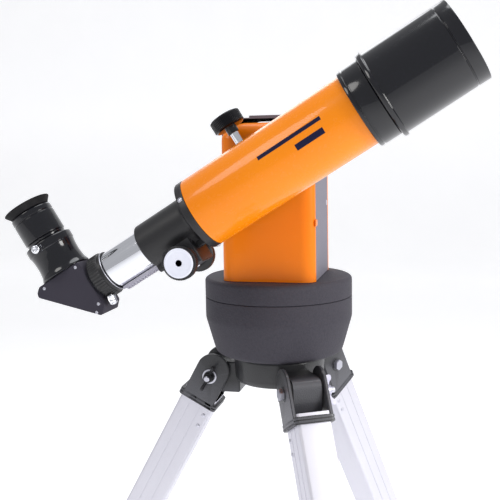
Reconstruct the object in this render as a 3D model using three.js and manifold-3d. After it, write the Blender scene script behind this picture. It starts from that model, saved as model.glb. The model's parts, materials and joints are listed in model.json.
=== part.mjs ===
// A small refractor telescope on a motorised altitude-azimuth head and a folding aluminium tripod.
// Millimetres, +Z up. The telescope points towards +X and hangs on the -Y side of the head's pillar.
// Heights are counted from the turntable's top face until the whole group is set on the floor.
import * as THREE from 'three';
import { mergeVertices } from 'three/addons/utils/BufferGeometryUtils.js';
import Module from 'manifold-3d';

const wasm = await Module();
wasm.setup();

// Fits
const seatGap = 0.3; // between two pieces that rest on or in each other
const runningGap = 0.4; // between two pieces that turn or slide in each other

// Facets round a full circle
const wideFacets = 40;
const middleFacets = 24;
const smallFacets = 14;
const cornerFacets = 4; // along one rounded corner

// Optical tube. Lengths run along the tube from the altitude axis, forwards positive.
const altitudeAngle = THREE.MathUtils.degToRad(31.7);
const tubeRadius = 32.8;
const tubeWall = 1.2;
const tubeRear = -53;
const collarRear = 110.8; // where the objective cell's collar begins
const collarLength = 20.2;
const collarRadius = tubeRadius + 3.7;
const tubeIntoCollar = 15;
const lensRadius = tubeRadius - 1.8;
const lensEdge = 7.4;
const lensBulge = 2.6;
const lensLip = 1.3; // how far the seat reaches in under the lens
const lensSeatThickness = 2.7;
const noseRadius = tubeRadius + 1.8; // the cell's front ring, which the dew shield slips over
const noseLength = 12;
const beadRadius = tubeRadius + 7.5;
const beadLength = 4.5;
const shieldLength = 82.6;
const shieldRearRadius = tubeRadius + 5.3;
const shieldFrontRadius = tubeRadius + 4.5;
const shieldGrooveFromFront = 12;
const shieldGrooveWidth = 1.5;
const shieldGrooveDepth = 0.5;

// Focuser
const flangeLength = 7;
const flangeRadius = tubeRadius + 0.2;
const plugLength = 12;
const focuserEnd = -115;
const focuserRadius = 21.7;
const drawtubeRadius = 17.8;
const drawtubeWall = 1.4;
const drawtubeInnerEnd = -62;
const rackTunnelWall = 3; // below the rack, in the hollow rib that it runs in
const rackTunnelSide = 3.5; // beside the rack, its play included
const rackTunnelPlay = 0.6; // below the rack's teeth
const toothModule = 1;
const rackClear = 1; // between the rack's end and the eyepiece holder
const rackWidth = 8;
const rackBack = 2.8;
const rackTooth = 2.2;
const pinionTeeth = 14;
const pinionAlong = -86.5;
const pinionLength = 10;
const pinionDrop = 0.2; // radial play between pinion and rack
const toothPlay = 0.3;
const shaftRadius = 3;
const bossHalfLength = 15;
const bossHalfWidth = 17;
const bossBelowShaft = 9;
const knobInner = 20.5; // from the tube's middle plane to the knob's inner face
const knobThickness = 13;
const knobRadius = 15.6;
const knobCapRadius = 13.2;

// Eyepiece end
const holderFront = -156;
const holderLength = 15;
const holderRingLength = 8;
const holderRingRadius = 21;
const holderNeckRadius = 19.8;
const holderGrip = 7.7; // how far the drawtube reaches into the holder
const barrelRadius = 15.85; // push-fit barrels of nosepiece and eyepiece
const nosepieceLength = 27;
const diagonalFace = -173.8; // the housing's flat face towards the holder
const diagonalHalfWidth = 19;
const diagonalAxis = -197.2; // where the eyepiece's axis crosses the tube's
const diagonalTop = 22.3;
const diagonalCorner = 24.4;
const diagonalChamfer = 6.6;
const diagonalBack = 10.3; // from the mirror's face to the housing's slanted back
const diagonalShoulder = 5; // the small faces at the housing's far upper corner
const lightBoreRadius = 12.5;
const mirrorHalfLength = 20;
const mirrorHalfWidth = 14;
const mirrorThickness = 9.6;
const collarStandHeight = 33.8;
const eyepieceCollarRadius = 22.9;
const eyepieceCollarFlare = 23.8;
const eyepieceCollarWaist = 21.3;
const eyepieceCollarBand = 7.7;
const eyepieceInsert = 22;
const eyepieceRadius = 20.1;
const eyepieceHeight = 31.6;
const eyeLensRadius = 8.7;
const eyeLensThickness = 5.2;
const eyecupFlareRadius = 23;
const eyecupHeight = 6.7;
const thumbScrewHeadRadius = 4;
const thumbScrewHeadLength = 8.5;
const thumbScrewStemRadius = 1.8;
const holderScrewTurn = THREE.MathUtils.degToRad(25); // from straight down towards the operator

// Dovetail, saddle and altitude axis
const barStand = 5.2; // from the tube's skin to the saddle's front face
const barThickness = 12;
const barHalfWidth = 19;
const barNeckHalfWidth = 15;
const barRear = -45;
const barLength = 112;
const saddleBackWall = 9.7;
const saddleHalfLength = 32;
const saddleHalfHeight = 27;
const clampBlockHalfLength = 12.5;
const clampBlockTop = 39;
const clampStemRadius = 2.4;
const clampCollarRadius = 4.1; // the bright sleeve between the block and the knob
const clampStubRadius = 5.6;
const clampStubLength = 6;
const clampKnobRadius = 15.3;
const clampKnobThickness = 13;
const clampKnobBottom = 55.5;
const altitudeGap = 1.8; // between saddle and pillar
const altitudeShaftRadius = 14;
const altitudeWheelRadius = 28;
const altitudeWheelThickness = 8;
const altitudeWheelInset = 18; // from the pillar's front face to the wheel
const wormRadius = 5;
const wormLength = 24;
const wormPlay = 0.6;
const altitudeMotorRadius = 8;
const altitudeMotorLength = 40;

// Pillar
const pillarFront = 52.8; // from the azimuth axis to the front face
const pillarWidth = 92;
const pillarTopWidth = pillarWidth - 1;
const frontShellDepth = 10;
const coreDepth = 79;
const rearShellDepth = 11;
const altitudeHeight = 100.7;
const shellHeight = altitudeHeight + 52.3;
const coreHeight = shellHeight + 7;
const capStep = 2; // the cap over the rest of the frame stands this much above its left part
const capStepAlong = -18; // where that step is
const pillarShoulder = 10; // height of the slanting upper corners
const pillarShoulderRun = 18;
const pillarCorner = 9;
const shellWall = 2.5;
const coreWall = 3;
const doorHalfWidth = 29;
const doorBottom = 12;
const doorTop = 88;
const doorThickness = 2.2;
const cellRadius = 7.1;
const cellLength = 50;
const cellsHigh = 4;
const packBottom = 10;
const switchHeight = 60;
const switchAlong = 22;
const switchHalfWidth = 6.2;
const switchHalfHeight = 9.5;
const switchThickness = 6;
const socketFirst = -18; // where the first cable socket begins, counted towards the rear
const socketWidth = 12;
const socketPitch = 20;
const socketBottom = 54;
const socketTop = 65;
const inletRadius = 4.2;
const inletAlong = -28;
const inletHeight = 60;
const gripHalfWidth = 9; // the finger ledge on the battery door
const gripStand = 1.2;
const gripHeight = 3;
const gripDrop = 12; // from the door's top edge to the ledge's lower side
const packSpine = 2; // half the thickness of the wall between the two rows of cells
const packEndWall = 2;
const cellPlay = 0.4;

// Turntable and base
const turntableRadius = 75;
const turntableHeight = 21.3;
const turntableBevel = 3;
const turntablePlate = 8;
const sleeveRadius = 22;
const sleeveWall = 4.6;
const sleeveDepth = 38;
const postRadius = 17;
const bowlHeight = 58.4;
const bowlStraight = 21;
const bowlWaistRadius = turntableRadius - 9;
const bowlFootRadius = turntableRadius - 19;
const bowlFootHeight = 7;
const bowlWall = 4;
const bowlFloor = 6;
const azimuthGearRadius = 42;
const azimuthGearThickness = 8;
const azimuthGearDrop = 40; // its top face below the turntable's top
const azimuthGearHub = 30;
const azimuthMotorRadius = 8.5;
const azimuthMotorLength = 18;
const azimuthMotorStart = 21;

// Tripod head
const headRadius = 47;
const headHeight = 28;
const boltRadius = 4.8;
const mountKnobRadius = 21;
const mountKnobHeight = 9;
const legCount = 3;
const legNames = ['left', 'front', 'rear'];
const firstLegTurn = Math.PI;
const hingeRadius = 70;
const hingeDrop = 105; // below the turntable's top
const lugReach = 13;
const lugAbove = 15;
const lugBelow = 17;
const hingeBoltRadius = 3;

// Legs. Lengths run down the leg from its hinge.
const splay = THREE.MathUtils.degToRad(28.5);
const legLength = 720;
const upperHalfWidth = 16.8;
const upperHalfDepth = 18.4;
const lugHalfWidth = upperHalfWidth - 1.3; // the tripod head's lugs fit between a clevis's cheeks
const upperWall = 1.6;
const upperStart = 22.5;
const upperEnd = legLength - 120;
const cheekThickness = 3.3;
const cheekRise = 7;
const clevisEnd = 33;
const clevisCollar = 7;
const lowerStart = 110;
const lowerWall = 1.5;
const legPlay = 0.8; // between the two telescoping sections
const lockCollarLength = 34;
const lockCollarWall = 4;
const lockKnobRadius = 12;
const lockKnobThickness = 12;
const lockScrewRadius = 3;
const lockScrewUp = 17;
const footLength = 34;
const footRadius = 15;
const footSocket = 20;
const footWall = 3;
const braceDown = legLength / 2 - 60;
const braceStandOff = 7;
const braceRise = THREE.MathUtils.degToRad(30);
const braceHalfThickness = 2;
const braceEyeRadius = 5.5;
const bracePinRadius = 2.2;
const braceForkGap = 0.7;
const trayHubRadius = 40; // radius of the braces' inner pivots
const trayRadius = 56;
const trayThickness = 4;
const traySlotHalfWidth = 9;
const traySlotInner = 22;
const trayHoleRadius = 16.3;
const trayHoleCircle = 36;
const wingSpan = 15;
const wingHubRadius = 6;
const wingThickness = 2.6;
const boltHeadRadius = 6;
const boltHeadThickness = 4.5;

// Derived places
const shieldRear = collarRear + collarLength + seatGap;
const barFace = tubeRadius + barStand;
const barBack = barFace + barThickness;
const saddleBack = barBack + seatGap + saddleBackWall;
const tubeOffset = pillarFront + altitudeGap + saddleBack;
const rackTop = -(drawtubeRadius + seatGap);
const rackTips = rackTop - rackBack - rackTooth;
const pitchLine = rackTips + toothModule;
const pinionRadius = (toothModule * pinionTeeth) / 2;
const pinionHeight = pitchLine - pinionRadius - pinionDrop;
const coreFront = -(pillarFront - frontShellDepth);
const coreRear = coreFront + coreDepth;
const seam = -(turntableHeight + runningGap);
const bowlBottom = seam - bowlHeight;
const headTop = bowlBottom - seatGap;
const headBottom = headTop - headHeight;
const cheekInner = lugHalfWidth + runningGap + 1;
const clevisHalfWidth = cheekInner + cheekThickness;
const cheekRadius = upperHalfDepth - 1;
const floorDrop = hingeDrop + legLength * Math.cos(splay);
const lowerHalfWidth = upperHalfWidth - upperWall - legPlay;
const lowerHalfDepth = upperHalfDepth - upperWall - legPlay;

// Finishes
function finish(color, roughness, metalness) {
  return new THREE.MeshStandardMaterial({ color, roughness, metalness });
}
const orangePaint = () => finish(0xf58a1c, 0.28, 0.1);
const blackGloss = () => finish(0x15161a, 0.25, 0.0);
const blackSatin = () => finish(0x202124, 0.5, 0.0);
const greyTexture = () => finish(0x3a393b, 0.75, 0.0);
const chrome = () => finish(0xe4e8ec, 0.12, 1.0);
const steel = () => finish(0xb9bcc0, 0.35, 1.0);
const silverAnodised = () => finish(0xd9dade, 0.4, 0.8);
const blackRubber = () => finish(0x161616, 0.9, 0.0);
const glass = () => finish(0xb8d0d8, 0.05, 0.0);
const mirrorGlass = () => finish(0xdfe6ea, 0.03, 1.0);
const brass = () => finish(0xb79a55, 0.35, 1.0);
const whitePlastic = () => finish(0xdedce0, 0.4, 0.0);
const cellPlastic = () => finish(0x2c4a7a, 0.45, 0.0);

// Solids

function toSolid(geometry) {
  const bare = geometry.clone();
  bare.deleteAttribute('normal');
  bare.deleteAttribute('uv');
  const merged = mergeVertices(bare, 1e-4);
  const kept = [];
  const index = merged.index.array;
  for (let i = 0; i < index.length; i += 3) {
    const [a, b, c] = [index[i], index[i + 1], index[i + 2]];
    if (a !== b && b !== c && c !== a) kept.push(a, b, c);
  }
  const vertProperties = Float32Array.from(merged.attributes.position.array);
  return new wasm.Manifold(new wasm.Mesh({ numProp: 3, vertProperties, triVerts: Uint32Array.from(kept) }));
}

function toGeometry(solid) {
  const { vertProperties, triVerts } = solid.getMesh();
  const geometry = new THREE.BufferGeometry();
  geometry.setAttribute('position', new THREE.BufferAttribute(vertProperties, 3));
  geometry.setIndex(new THREE.BufferAttribute(triVerts, 1));
  geometry.computeVertexNormals();
  return geometry;
}

const join = (...parts) => toGeometry(parts.map(toSolid).reduce((whole, next) => whole.add(next)));
function cut(body, ...tools) {
  return toGeometry(tools.map(toSolid).reduce((rest, next) => rest.subtract(next), toSolid(body)));
}
const common = (first, second) => toGeometry(toSolid(first).intersect(toSolid(second)));

// A box from its six faces.
function block(x0, x1, y0, y1, z0, z1) {
  const box = new THREE.BoxGeometry(x1 - x0, y1 - y0, z1 - z0);
  return box.translate((x0 + x1) / 2, (y0 + y1) / 2, (z0 + z1) / 2);
}

// Turns [radius, along] points about the Z axis. A profile off the axis is closed on itself.
function turned(profile, facets) {
  const outline = profile[0][0] === 0 ? [...profile] : [...profile, profile[0]];
  const points = outline.map(([radius, along]) => new THREE.Vector2(radius, along));
  if (THREE.ShapeUtils.area(points) < 0) points.reverse();
  return new THREE.LatheGeometry(points, facets).rotateX(Math.PI / 2);
}

const turnedAlongX = (profile, facets) => turned(profile, facets).rotateY(Math.PI / 2);
const turnedAlongY = (profile, facets) => turned(profile, facets).rotateX(-Math.PI / 2);
const rodProfile = (radius, from, to) => [[0, from], [radius, from], [radius, to], [0, to]];
const tubeProfile = (inner, outer, from, to) => [[inner, from], [outer, from], [outer, to], [inner, to]];
const rodX = (radius, from, to, facets) => turnedAlongX(rodProfile(radius, from, to), facets);
const rodY = (radius, from, to, facets) => turnedAlongY(rodProfile(radius, from, to), facets);
const rodZ = (radius, from, to, facets) => turned(rodProfile(radius, from, to), facets);

function outlineShape(points) {
  return new THREE.Shape(points.map(([a, b]) => new THREE.Vector2(a, b)));
}

function roundedRectangle(halfA, halfB, radius) {
  const shape = new THREE.Shape();
  shape.moveTo(halfA, -halfB + radius);
  shape.absarc(halfA - radius, halfB - radius, radius, 0, Math.PI / 2);
  shape.absarc(-halfA + radius, halfB - radius, radius, Math.PI / 2, Math.PI);
  shape.absarc(-halfA + radius, -halfB + radius, radius, Math.PI, 1.5 * Math.PI);
  shape.absarc(halfA - radius, -halfB + radius, radius, 1.5 * Math.PI, 2 * Math.PI);
  return shape;
}

function extruded(shape, depth) {
  return new THREE.ExtrudeGeometry(shape, { depth, bevelEnabled: false, curveSegments: cornerFacets });
}

// A shape drawn in X and Z, standing between two Y planes.
function upright(shape, y0, y1) {
  return extruded(shape, y1 - y0).rotateX(Math.PI / 2).translate(0, y1, 0);
}

// A shape drawn in Y and Z, running between two X planes.
function lengthwise(shape, x0, x1) {
  const axes = new THREE.Matrix4().makeBasis(
    new THREE.Vector3(0, 1, 0),
    new THREE.Vector3(0, 0, 1),
    new THREE.Vector3(1, 0, 0),
  );
  return extruded(shape, x1 - x0).applyMatrix4(axes).translate(x0, 0, 0);
}

// A gear's outline: straight-flanked teeth, thinned by the play.
function gearShape(teeth, pitchRadius, tipRadius, rootRadius, play) {
  const pitchHalf = Math.PI / (2 * teeth) - play / (2 * pitchRadius);
  const points = [];
  for (let tooth = 0; tooth < teeth; tooth += 1) {
    const middle = (2 * Math.PI * tooth) / teeth;
    const corners = [[rootRadius, -1.45], [tipRadius, -0.5], [tipRadius, 0.5], [rootRadius, 1.45]];
    for (const [radius, share] of corners) {
      const angle = middle + share * pitchHalf;
      points.push([radius * Math.cos(angle), radius * Math.sin(angle)]);
    }
  }
  return outlineShape(points);
}

// Shapes of the optical tube

function mainTube() {
  const front = collarRear + tubeIntoCollar;
  return turnedAlongX(tubeProfile(tubeRadius - tubeWall, tubeRadius, tubeRear, front), wideFacets);
}

function objectiveCell() {
  const bore = tubeRadius + seatGap;
  const collarFront = collarRear + collarLength;
  const tubeStop = collarRear + tubeIntoCollar + seatGap;
  const lensSeat = tubeStop + lensSeatThickness;
  const pocket = lensRadius + seatGap;
  return turnedAlongX(
    [
      [bore, collarRear],
      [collarRadius, collarRear],
      [collarRadius, collarFront],
      [noseRadius, collarFront],
      [noseRadius, collarFront + noseLength],
      [pocket, collarFront + noseLength],
      [pocket, lensSeat],
      [lensRadius - lensLip, lensSeat],
      [lensRadius - lensLip, tubeStop],
      [bore, tubeStop],
    ],
    wideFacets,
  );
}

function objectiveLens() {
  const seat = collarRear + tubeIntoCollar + lensSeatThickness + 2 * seatGap;
  const front = seat + lensEdge;
  const half = lensRadius / 2;
  return turnedAlongX(
    [
      [0, seat - lensBulge],
      [half, seat - 0.75 * lensBulge],
      [lensRadius - lensLip - seatGap, seat],
      [lensRadius, seat],
      [lensRadius, front],
      [half, front + 0.75 * lensBulge],
      [0, front + lensBulge],
    ],
    wideFacets,
  );
}

function dewShield() {
  const front = shieldRear + shieldLength;
  const groove = front - shieldGrooveFromFront;
  const inner = noseRadius + runningGap;
  const grooveRadius = shieldFrontRadius - shieldGrooveDepth;
  return turnedAlongX(
    [
      [inner, shieldRear],
      [beadRadius, shieldRear],
      [beadRadius, shieldRear + beadLength],
      [shieldRearRadius, shieldRear + beadLength],
      [shieldFrontRadius, groove],
      [grooveRadius, groove],
      [grooveRadius, groove + shieldGrooveWidth],
      [shieldFrontRadius, groove + shieldGrooveWidth],
      [shieldFrontRadius, front],
      [inner, front],
    ],
    wideFacets,
  );
}

function focuserHousing() {
  const flangeRear = tubeRear - seatGap - flangeLength;
  const plug = tubeRadius - tubeWall - seatGap;
  const shell = turnedAlongX(
    [
      [0, focuserEnd],
      [focuserRadius, focuserEnd],
      [focuserRadius, flangeRear],
      [flangeRadius, flangeRear],
      [flangeRadius, tubeRear - seatGap],
      [plug, tubeRear - seatGap],
      [plug, tubeRear + plugLength],
      [0, tubeRear + plugLength],
    ],
    wideFacets,
  );
  const tunnelHalfWidth = rackWidth / 2 + rackTunnelSide;
  const tunnelBottom = rackTips - rackTunnelWall;
  const tunnel = block(
    focuserEnd,
    flangeRear + 1,
    -tunnelHalfWidth,
    tunnelHalfWidth,
    tunnelBottom,
    -drawtubeRadius,
  );
  const bossBottom = pinionHeight - bossBelowShaft;
  const boss = block(
    pinionAlong - bossHalfLength,
    pinionAlong + bossHalfLength,
    -bossHalfWidth,
    bossHalfWidth,
    bossBottom,
    -drawtubeRadius / 2,
  );
  const slotHalfWidth = rackWidth / 2 + runningGap;
  const bore = rodX(drawtubeRadius + runningGap, focuserEnd - 1, tubeRear + plugLength + 1, wideFacets);
  const slotBottom = rackTips - rackTunnelPlay;
  const plugEnd = tubeRear + plugLength + 1;
  const slot = block(focuserEnd - 1, plugEnd, -slotHalfWidth, slotHalfWidth, slotBottom, 0);
  const gearRoom = pinionRadius + toothModule + runningGap;
  const pocket = rodY(gearRoom, -pinionLength / 2 - runningGap, pinionLength / 2 + runningGap, middleFacets);
  pocket.translate(pinionAlong, 0, pinionHeight);
  const shaftHole = rodY(shaftRadius + runningGap, -bossHalfWidth - 1, bossHalfWidth + 1, smallFacets);
  shaftHole.translate(pinionAlong, 0, pinionHeight);
  return cut(join(shell, tunnel, boss), bore, slot, pocket, shaftHole);
}

function dovetailBar() {
  const section = outlineShape([
    [tubeRadius * 0.8, -barNeckHalfWidth],
    [barFace, -barNeckHalfWidth],
    [barBack, -barHalfWidth],
    [barBack, barHalfWidth],
    [barFace, barNeckHalfWidth],
    [tubeRadius * 0.8, barNeckHalfWidth],
  ]);
  const bar = lengthwise(section, barRear, barRear + barLength);
  const tubeRoom = rodX(tubeRadius + seatGap, barRear - 1, barRear + barLength + 1, wideFacets);
  return cut(bar, tubeRoom);
}

function drawtube() {
  const outerEnd = holderFront - holderGrip;
  const profile = tubeProfile(drawtubeRadius - drawtubeWall, drawtubeRadius, outerEnd, drawtubeInnerEnd);
  return turnedAlongX(profile, wideFacets);
}

// The rack's teeth stand between the pinion's, one of which points straight up at rest.
function drawtubeRack() {
  const pitch = Math.PI * toothModule;
  const root = rackTop - rackBack;
  const rear = holderFront + rackClear;
  const points = [[rear, rackTop]];
  const first = Math.ceil((rear - pinionAlong) / pitch + 0.5);
  const last = Math.floor((drawtubeInnerEnd - pinionAlong) / pitch - 1);
  points.push([rear, root]);
  for (let tooth = first; tooth <= last; tooth += 1) {
    const middle = pinionAlong + (tooth + 0.5) * pitch;
    points.push([middle - 0.36 * pitch, root]);
    points.push([middle - 0.1 * pitch, rackTips]);
    points.push([middle + 0.1 * pitch, rackTips]);
    points.push([middle + 0.36 * pitch, root]);
  }
  points.push([drawtubeInnerEnd, root]);
  points.push([drawtubeInnerEnd, rackTop]);
  return upright(outlineShape(points), -rackWidth / 2, rackWidth / 2);
}

function eyepieceHolder() {
  const rear = holderFront - holderLength;
  const ringFront = rear + holderRingLength;
  const drawtubeStop = holderFront - holderGrip - seatGap;
  const grip = drawtubeRadius + seatGap;
  const bore = barrelRadius + seatGap;
  const ring = turnedAlongX(
    [
      [bore, rear],
      [holderRingRadius, rear],
      [holderRingRadius, ringFront],
      [holderNeckRadius, ringFront],
      [holderNeckRadius, holderFront],
      [grip, holderFront],
      [grip, drawtubeStop],
      [bore, drawtubeStop],
    ],
    wideFacets,
  );
  const hole = rodZ(thumbScrewStemRadius + seatGap, -holderRingRadius - 1, -barrelRadius + 2, smallFacets);
  hole.rotateX(-holderScrewTurn).translate(rear + holderRingLength / 2, 0, 0);
  return cut(ring, hole);
}

function pinionShaft() {
  const half = knobInner + knobThickness - 3;
  const shaft = rodY(shaftRadius, -half, half, smallFacets);
  const root = pinionRadius - 1.3 * toothModule;
  const shape = gearShape(pinionTeeth, pinionRadius, pinionRadius + 0.8 * toothModule, root, toothPlay);
  const gear = extruded(shape, pinionLength).translate(0, 0, -pinionLength / 2);
  gear.rotateX(Math.PI / 2).rotateY(-Math.PI / 2);
  return join(shaft, gear);
}

// The knob's cap faces -Y; the far knob is the same piece turned round.
function focusKnob() {
  const rimFront = knobInner + knobThickness - 1.5;
  const hole = shaftRadius + seatGap;
  const profile = [
    [0, knobInner + knobThickness],
    [knobCapRadius, knobInner + knobThickness],
    [knobCapRadius, rimFront],
    [knobRadius - 1, rimFront],
    [knobRadius, rimFront - 1],
    [knobRadius, knobInner + 3],
    [knobRadius - 4, knobInner],
    [hole, knobInner],
    [hole, knobInner + knobThickness - 3 + seatGap],
    [0, knobInner + knobThickness - 3 + seatGap],
  ];
  return turnedAlongY(profile, middleFacets).rotateZ(Math.PI);
}

// Shapes of the star diagonal and the eyepiece

// Where the slanted back crosses the line x = diagonalAxis, below the tube's axis.
const backDrop = diagonalBack * Math.SQRT2;

function diagonalHousing() {
  const slantX = (height) => diagonalAxis - backDrop - height;
  const cornerHeight = -diagonalCorner - diagonalChamfer;
  const shoulderHeight = diagonalTop - 1.6 * diagonalShoulder;
  const section = outlineShape([
    [diagonalFace, diagonalTop],
    [slantX(shoulderHeight) + 1.2 * diagonalShoulder, diagonalTop],
    [slantX(shoulderHeight) + 0.2 * diagonalShoulder, diagonalTop - 0.8 * diagonalShoulder],
    [slantX(shoulderHeight), shoulderHeight],
    [slantX(cornerHeight), cornerHeight],
    [diagonalFace, -diagonalCorner],
  ]);
  const box = upright(section, -diagonalHalfWidth, diagonalHalfWidth);
  const nose = rodX(barrelRadius, diagonalFace - 2, diagonalFace + nosepieceLength, wideFacets);
  const lightIn = rodX(lightBoreRadius, diagonalAxis, diagonalFace + nosepieceLength + 1, middleFacets);
  const lightOut = rodZ(lightBoreRadius, -lightBoreRadius / 2, diagonalTop + 1, middleFacets);
  lightOut.translate(diagonalAxis, 0, 0);
  const reach = mirrorHalfLength + seatGap;
  const side = mirrorHalfWidth + seatGap;
  const pocket = block(-reach, reach, -side, side, -diagonalBack - 5, 0);
  pocket.rotateY(Math.PI / 4).translate(diagonalAxis, 0, 0);
  return cut(join(box, nose), lightIn, lightOut, pocket);
}

function diagonalMirror() {
  const slab = block(
    -mirrorHalfLength,
    mirrorHalfLength,
    -mirrorHalfWidth,
    mirrorHalfWidth,
    -mirrorThickness,
    -seatGap,
  );
  return slab.rotateY(Math.PI / 4).translate(diagonalAxis, 0, 0);
}

function eyepieceCollar() {
  const bottom = diagonalTop + seatGap;
  const top = bottom + collarStandHeight;
  const bore = barrelRadius + seatGap;
  const waistHeight = bottom + 0.42 * (collarStandHeight - eyepieceCollarBand);
  const bandBottom = top - eyepieceCollarBand;
  const collar = turned(
    [
      [bore, bottom],
      [eyepieceCollarFlare, bottom],
      [eyepieceCollarFlare - 1.4, bottom + 4],
      [eyepieceCollarWaist, waistHeight],
      [eyepieceCollarWaist + 0.6, bandBottom - 5],
      [eyepieceCollarRadius, bandBottom],
      [eyepieceCollarRadius, top],
      [bore, top],
    ],
    wideFacets,
  );
  const screwRoom = thumbScrewStemRadius + seatGap;
  const hole = rodY(screwRoom, -eyepieceCollarRadius - 1, -barrelRadius + 2, smallFacets);
  hole.translate(0, 0, bandBottom + 2.6);
  return cut(collar, hole);
}

function eyepieceBody() {
  const shoulder = diagonalTop + collarStandHeight + 2 * seatGap;
  const top = shoulder + eyepieceHeight;
  const barrelEnd = shoulder - eyepieceInsert;
  const pocket = eyeLensRadius + seatGap;
  const lensSeat = top - eyeLensThickness - 2;
  return turned(
    [
      [barrelRadius - 3.5, barrelEnd],
      [barrelRadius, barrelEnd],
      [barrelRadius, shoulder],
      [eyepieceRadius - 1.2, shoulder],
      [eyepieceRadius, shoulder + 3],
      [eyepieceRadius, top - 1.2],
      [eyepieceRadius - 1, top],
      [pocket, top],
      [pocket, lensSeat],
      [eyeLensRadius - 1.2, lensSeat],
      [eyeLensRadius - 1.2, lensSeat - 2],
      [barrelRadius - 3.5, lensSeat - 2],
    ],
    wideFacets,
  );
}

function eyeLens() {
  const top = diagonalTop + collarStandHeight + 2 * seatGap + eyepieceHeight;
  const seat = top - eyeLensThickness - 2 + seatGap;
  const front = seat + eyeLensThickness;
  return turned(
    [
      [0, seat],
      [eyeLensRadius, seat],
      [eyeLensRadius, front - 1.2],
      [eyeLensRadius / 2, front - 0.3],
      [0, front],
    ],
    middleFacets,
  );
}

function eyecup() {
  const bottom = diagonalTop + collarStandHeight + 3 * seatGap + eyepieceHeight;
  const top = bottom + eyecupHeight;
  const base = eyepieceRadius - 1.2;
  return turned(
    [
      [eyeLensRadius + 3.5, bottom],
      [base, bottom],
      [base + 0.8, bottom + 1.4],
      [eyecupFlareRadius, top - 0.6],
      [eyecupFlareRadius - 0.8, top],
      [base - 1, bottom + 2.2],
      [eyeLensRadius + 3.5, bottom + 1.6],
    ],
    wideFacets,
  );
}

// Stands on the surface at the given radius and points outwards along -Z.
function thumbScrew(surface, stemTip) {
  const headFrom = -surface - seatGap;
  const headTo = headFrom - thumbScrewHeadLength;
  return turned(
    [
      [0, headTo],
      [thumbScrewHeadRadius - 0.8, headTo],
      [thumbScrewHeadRadius, headTo + 0.8],
      [thumbScrewHeadRadius, headFrom - 0.8],
      [thumbScrewHeadRadius - 0.8, headFrom],
      [thumbScrewStemRadius, headFrom],
      [thumbScrewStemRadius, -stemTip],
      [0, -stemTip],
    ],
    smallFacets,
  );
}

// Shapes of the saddle and the altitude axis

function saddle() {
  const face = barFace;
  const body = block(
    -saddleHalfLength,
    saddleHalfLength,
    face,
    saddleBack,
    -saddleHalfHeight,
    saddleHalfHeight,
  );
  const clampBlock = block(
    -clampBlockHalfLength,
    clampBlockHalfLength,
    face + 2,
    saddleBack - 4,
    barHalfWidth,
    clampBlockTop,
  );
  const channel = lengthwise(
    outlineShape([
      [face - 1, -barNeckHalfWidth - 2 * seatGap],
      [face, -barNeckHalfWidth - 2 * seatGap],
      [barBack + seatGap, -barHalfWidth - 2 * seatGap],
      [barBack + seatGap, barHalfWidth + 2 * seatGap],
      [face, barNeckHalfWidth + 2 * seatGap],
      [face - 1, barNeckHalfWidth + 2 * seatGap],
    ]),
    -saddleHalfLength - 1,
    saddleHalfLength + 1,
  );
  const screwHole = rodZ(clampStemRadius + seatGap, 0, clampBlockTop + 1, smallFacets);
  screwHole.translate(0, barFace + barThickness / 2, 0);
  return cut(join(body, clampBlock), channel, screwHole);
}

function saddleKnob() {
  const tip = barHalfWidth + 2 * seatGap - 1;
  const top = clampKnobBottom + clampKnobThickness;
  return turned(
    [
      [0, tip],
      [clampStemRadius, tip],
      [clampStemRadius, clampBlockTop + seatGap],
      [clampCollarRadius, clampBlockTop + seatGap],
      [clampCollarRadius, clampKnobBottom - clampStubLength],
      [clampStubRadius, clampKnobBottom - clampStubLength],
      [clampStubRadius, clampKnobBottom],
      [clampKnobRadius - 1, clampKnobBottom],
      [clampKnobRadius, clampKnobBottom + 1],
      [clampKnobRadius, top - 1],
      [clampKnobRadius - 1, top],
      [0, top],
    ],
    middleFacets,
  );
}

// Runs from the saddle's back into the pillar and carries the worm wheel.
function altitudeShaft() {
  const from = -(pillarFront + altitudeGap) + seatGap;
  const wheelFrom = -pillarFront + altitudeWheelInset;
  const wheelTo = wheelFrom + altitudeWheelThickness;
  return turnedAlongY(
    [
      [0, from],
      [altitudeShaftRadius, from],
      [altitudeShaftRadius, wheelFrom],
      [altitudeWheelRadius, wheelFrom],
      [altitudeWheelRadius, wheelTo],
      [altitudeShaftRadius / 2, wheelTo],
      [altitudeShaftRadius / 2, wheelTo + 14],
      [0, wheelTo + 14],
    ],
    middleFacets,
  );
}

// A worm along Z, with its end journals.
function worm() {
  const half = wormLength / 2;
  const profile = [[0, -half - 3], [2, -half - 3], [2, -half]];
  const threads = 6;
  for (let turn = 0; turn < threads; turn += 1) {
    const from = -half + (turn * wormLength) / threads;
    profile.push([wormRadius - 1.2, from + 0.4]);
    profile.push([wormRadius, from + 0.35 * (wormLength / threads)]);
    profile.push([wormRadius, from + 0.65 * (wormLength / threads)]);
    profile.push([wormRadius - 1.2, from + wormLength / threads - 0.4]);
  }
  profile.push([2, half], [2, half + 3], [0, half + 3]);
  return turned(profile, smallFacets);
}

// A gear motor below its worm, along -Z.
function altitudeMotor() {
  const top = -wormLength / 2 - 3 - seatGap;
  const half = altitudeMotorRadius;
  const gearbox = block(-half, half, -half, half, top - 14, top);
  const can = rodZ(altitudeMotorRadius - 0.5, top - altitudeMotorLength, top - 13, middleFacets);
  return join(gearbox, can);
}

// Shapes of the pillar

// The pillar seen from the front: slightly narrower at the top, with slanting upper corners.
function pillarOutline(height, inset) {
  const foot = pillarWidth / 2 - inset;
  const top = pillarTopWidth / 2 - inset;
  const shoulder = height - pillarShoulder - inset;
  return outlineShape([
    [-foot, seatGap + inset],
    [foot, seatGap + inset],
    [top, shoulder],
    [top - pillarShoulderRun, height - inset],
    [-(top - pillarShoulderRun), height - inset],
    [-top, shoulder],
  ]);
}

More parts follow.
